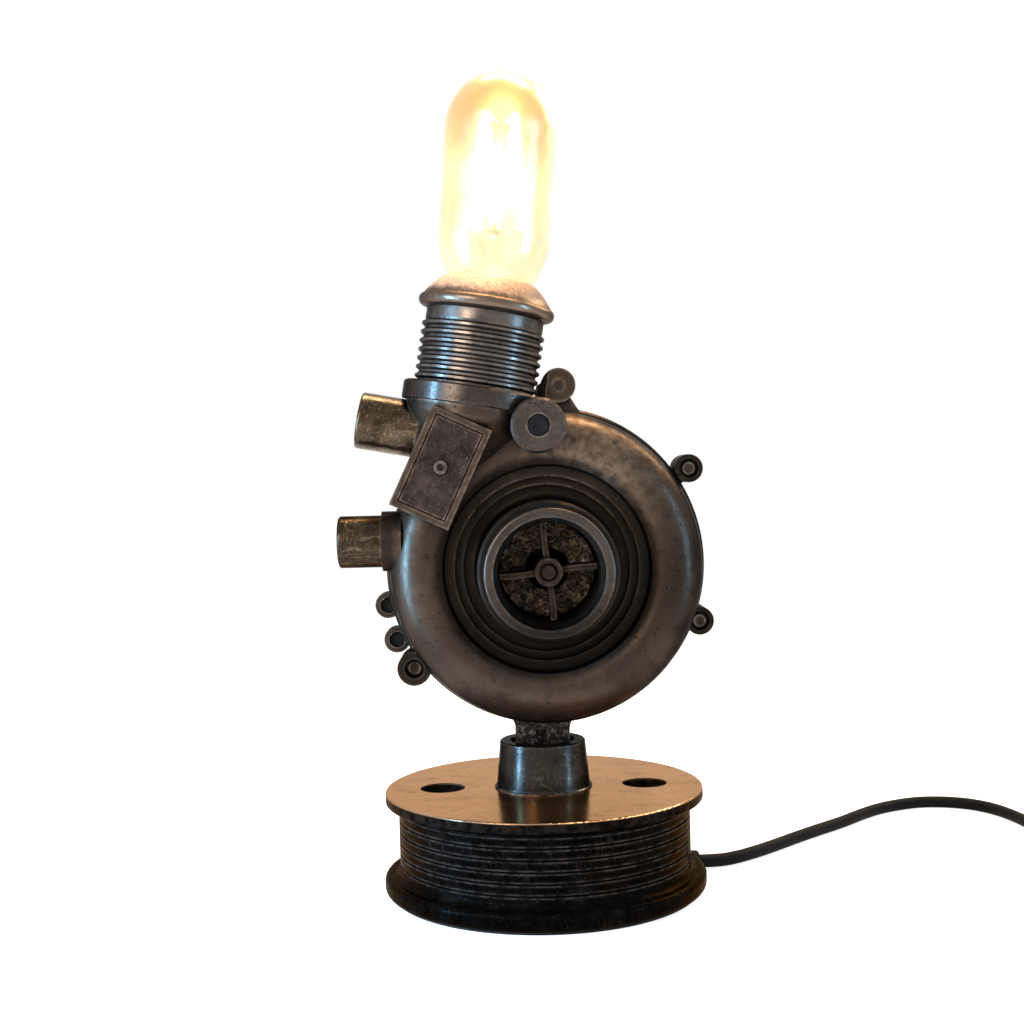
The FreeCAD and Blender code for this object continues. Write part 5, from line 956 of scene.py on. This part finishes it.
filament_curve = bpy.data.curves.new("coiled_filament", "CURVE")
filament_curve.dimensions = "3D"
filament_curve.bevel_depth = 1.0
filament_curve.bevel_resolution = 0
filament_points = []
for index in range(CAGE_POINTS):
    a, b = cage_corner(index), cage_corner(index + 1)
    along = (b - a).normalized()
    side = along.cross(Vector((0, 0, 1))).normalized()
    other = along.cross(side)
    steps = round((b - a).length * HELIX_TURNS_PER_METRE) * HELIX_STEPS
    for step in range(steps):
        angle = 2 * math.pi * step / HELIX_STEPS
        around = (side * math.cos(angle) + other * math.sin(angle)) * HELIX_RADIUS
        filament_points.append(bulb_frame @ (a.lerp(b, step / steps) + around))
filament_spline = filament_curve.splines.new("POLY")
filament_spline.points.add(len(filament_points) - 1)
for point, place in zip(filament_spline.points, filament_points):
    point.co = (*place, 1.0)
    point.radius = WIRE_RADIUS
filament_spline.use_cyclic_u = True
filament = bpy.data.objects.new("coiled_filament", filament_curve)
bpy.context.scene.collection.objects.link(filament)
hot_finish, hot_tree, hot_shader = new_finish("hot_tungsten")
hot_shader.inputs["Base Color"].default_value = (0.3, 0.25, 0.2, 1)
hot_drift = stretch(hot_tree, cloud(hot_tree, 220.0), 0.35, 0.65)
hot_tree.links.new(blend_colours(hot_tree, hot_drift, (1.0, 0.84, 0.62), (1.0, 0.90, 0.72)),
                   hot_shader.inputs["Emission Color"])
hot_shader.inputs["Emission Strength"].default_value = 12.0
hot_finish.cycles.emission_sampling = "NONE"
filament_curve.materials.append(hot_finish)
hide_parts("filament")
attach(filament, "bulb")
print("filament points", len(filament_points))

# %% [markdown]
# ## Grit behind the wheel's vanes
# Between the four vanes the wheel's disc is crusted, like fine gravel. Real lumps
# catch the light as a bump can't, so a ring of mesh is pushed forwards by noise.

# %% Model the grit
GRIT_FRONT = -0.0193
GRIT_INNER, GRIT_OUTER = 0.0084, 0.0186
GRIT_RISE = 0.0022
GRIT_RINGS = 26
grit_form = bmesh.new()
dots = []
for i in range(GRIT_RINGS + 1):
    dots.append(grit_form.verts.new((GRIT_INNER + (GRIT_OUTER - GRIT_INNER) * i / GRIT_RINGS, 0, 0)))
spoke = [grit_form.edges.new(pair) for pair in zip(dots, dots[1:])]
bmesh.ops.spin(grit_form, geom=dots + spoke, cent=(0, 0, 0), axis=(0, 1, 0), dvec=(0, 0, 0),
               angle=2 * math.pi, steps=200, use_merge=True)
bmesh.ops.remove_doubles(grit_form, verts=grit_form.verts, dist=1e-6)
bmesh.ops.translate(grit_form, verts=grit_form.verts, vec=WHEEL_AXIS + Vector((0, GRIT_FRONT, 0)))
for vert in grit_form.verts:
    lumps = noise.cell(vert.co * 900) * 0.5 + noise.noise(vert.co * 420) * 0.7
    lumps += noise.noise(vert.co * 1500) * 0.4
    reach = Vector((vert.co.x - WHEEL_AXIS.x, vert.co.z - WHEEL_AXIS.z)).length
    edge = min(1.0, (GRIT_OUTER - reach) / 0.0015, (reach - GRIT_INNER) / 0.0012)
    vert.co.y -= GRIT_RISE * max(0.0, edge) * max(0.0, 0.35 + lumps * 0.65)
bmesh.ops.recalc_face_normals(grit_form, faces=grit_form.faces)
grit_mesh = bpy.data.meshes.new("wheel_grit")
grit_form.to_mesh(grit_mesh)
grit_form.free()
grit = bpy.data.objects.new("wheel_grit", grit_mesh)
bpy.context.scene.collection.objects.link(grit)
grit_finish, tree, shader, colour = weathered_metal(
    "crusted_grit", (0.020, 0.012, 0.008), (0.20, 0.145, 0.10), (0.80, 0.64, 0.46),
    rough=0.6, metallic=0.2, drift=330.0, bump=0.0002, wear_reach=0.0006, grime_amount=0.4,
    specks=0.7)
patches = stretch(tree, cloud(tree, 330.0, 4.0, 0.65), 0.53, 0.60, 0.0, 0.85)
tree.links.new(blend_colours(tree, patches, colour, (0.60, 0.44, 0.30)), shader.inputs["Base Color"])
grit_mesh.materials.append(grit_finish)
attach(grit, "rotor")
print("grit faces", len(grit_mesh.polygons))

# %% [markdown]
# ## The switch's spring
# The spring behind the button gets shorter as the button goes in, which a rigid node can't do. A ring of wire
# is spun along the button's axis with a rise at each step.

# %% Wind the switch's spring
SPRING_WIRE = 0.00035
SPRING_TURNS = 5
SPRING_STEPS = 24 * SPRING_TURNS
spring_low, spring_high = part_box("switch_spring")
spring_middle = (spring_low + spring_high) / 2
spring_length = spring_high.y - spring_low.y
coil_radius = (spring_high.x - spring_low.x) / 2 - SPRING_WIRE
spring_start = Vector((spring_middle.x + coil_radius, spring_low.y + SPRING_WIRE, spring_middle.z))
spring_form = bmesh.new()
bmesh.ops.create_circle(spring_form, segments=8, radius=SPRING_WIRE, matrix=Matrix.Translation(spring_start))
bmesh.ops.spin(spring_form, geom=spring_form.verts[:] + spring_form.edges[:], cent=spring_middle,
               axis=(0, 1, 0), dvec=(0, (spring_length - 2 * SPRING_WIRE) / SPRING_STEPS, 0),
               angle=2 * math.pi * SPRING_TURNS, steps=SPRING_STEPS)
bmesh.ops.holes_fill(spring_form, edges=spring_form.edges[:], sides=8)
bmesh.ops.recalc_face_normals(spring_form, faces=spring_form.faces)
spring_mesh = bpy.data.meshes.new("button_spring")
spring_form.to_mesh(spring_mesh)
spring_form.free()
spring = bpy.data.objects.new("button_spring", spring_mesh)
bpy.context.scene.collection.objects.link(spring)
spring_mesh.materials.append(steel_finish)
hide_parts("switch_spring")
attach(spring, "lamp")
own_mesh(spring)
print("spring faces", len(spring_mesh.polygons), "length", round(spring_length, 4))

# %% [markdown]
# ## Bungs in the spare ears
# Two ears of the back plate carry no screw, and in the photograph their holes are
# dark. A small rubber bung sits deep in each of them.

# %% Model the bungs
SPARE_EARS = ((math.radians(205.6), 0.0686), (math.radians(193.2), 0.0669))
BUNG_RADIUS = 0.0032
PLATE_MIDDLE = 0.0112
BUNG_HALF_LENGTH = 0.0012
bung_form = bmesh.new()
for angle, distance in SPARE_EARS:
    middle = WHEEL_AXIS + Vector((distance * math.cos(angle), PLATE_MIDDLE, distance * math.sin(angle)))
    lie = Matrix.Translation(middle) @ Matrix.Rotation(math.pi / 2, 4, "X")
    bmesh.ops.create_cone(bung_form, cap_ends=True, segments=40, radius1=BUNG_RADIUS, radius2=BUNG_RADIUS,
                          depth=2 * BUNG_HALF_LENGTH, matrix=lie)
bung_mesh = bpy.data.meshes.new("ear_bungs")
bung_form.to_mesh(bung_mesh)
bung_form.free()
bungs = bpy.data.objects.new("ear_bungs", bung_mesh)
bpy.context.scene.collection.objects.link(bungs)
bung_finish = dull_finish("bung_rubber", (0.004, 0.0035, 0.003), (0.008, 0.007, 0.006), 0.7, 1400.0,
                          0.00005, gloss=0.1)
bung_mesh.materials.append(bung_finish)
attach(bungs, "lamp")
print("bung faces", len(bung_mesh.polygons))

# %% [markdown]
# ## Last update
# The view layer is updated once more at the end.

# %% Update the view layer
bpy.context.view_layer.update()
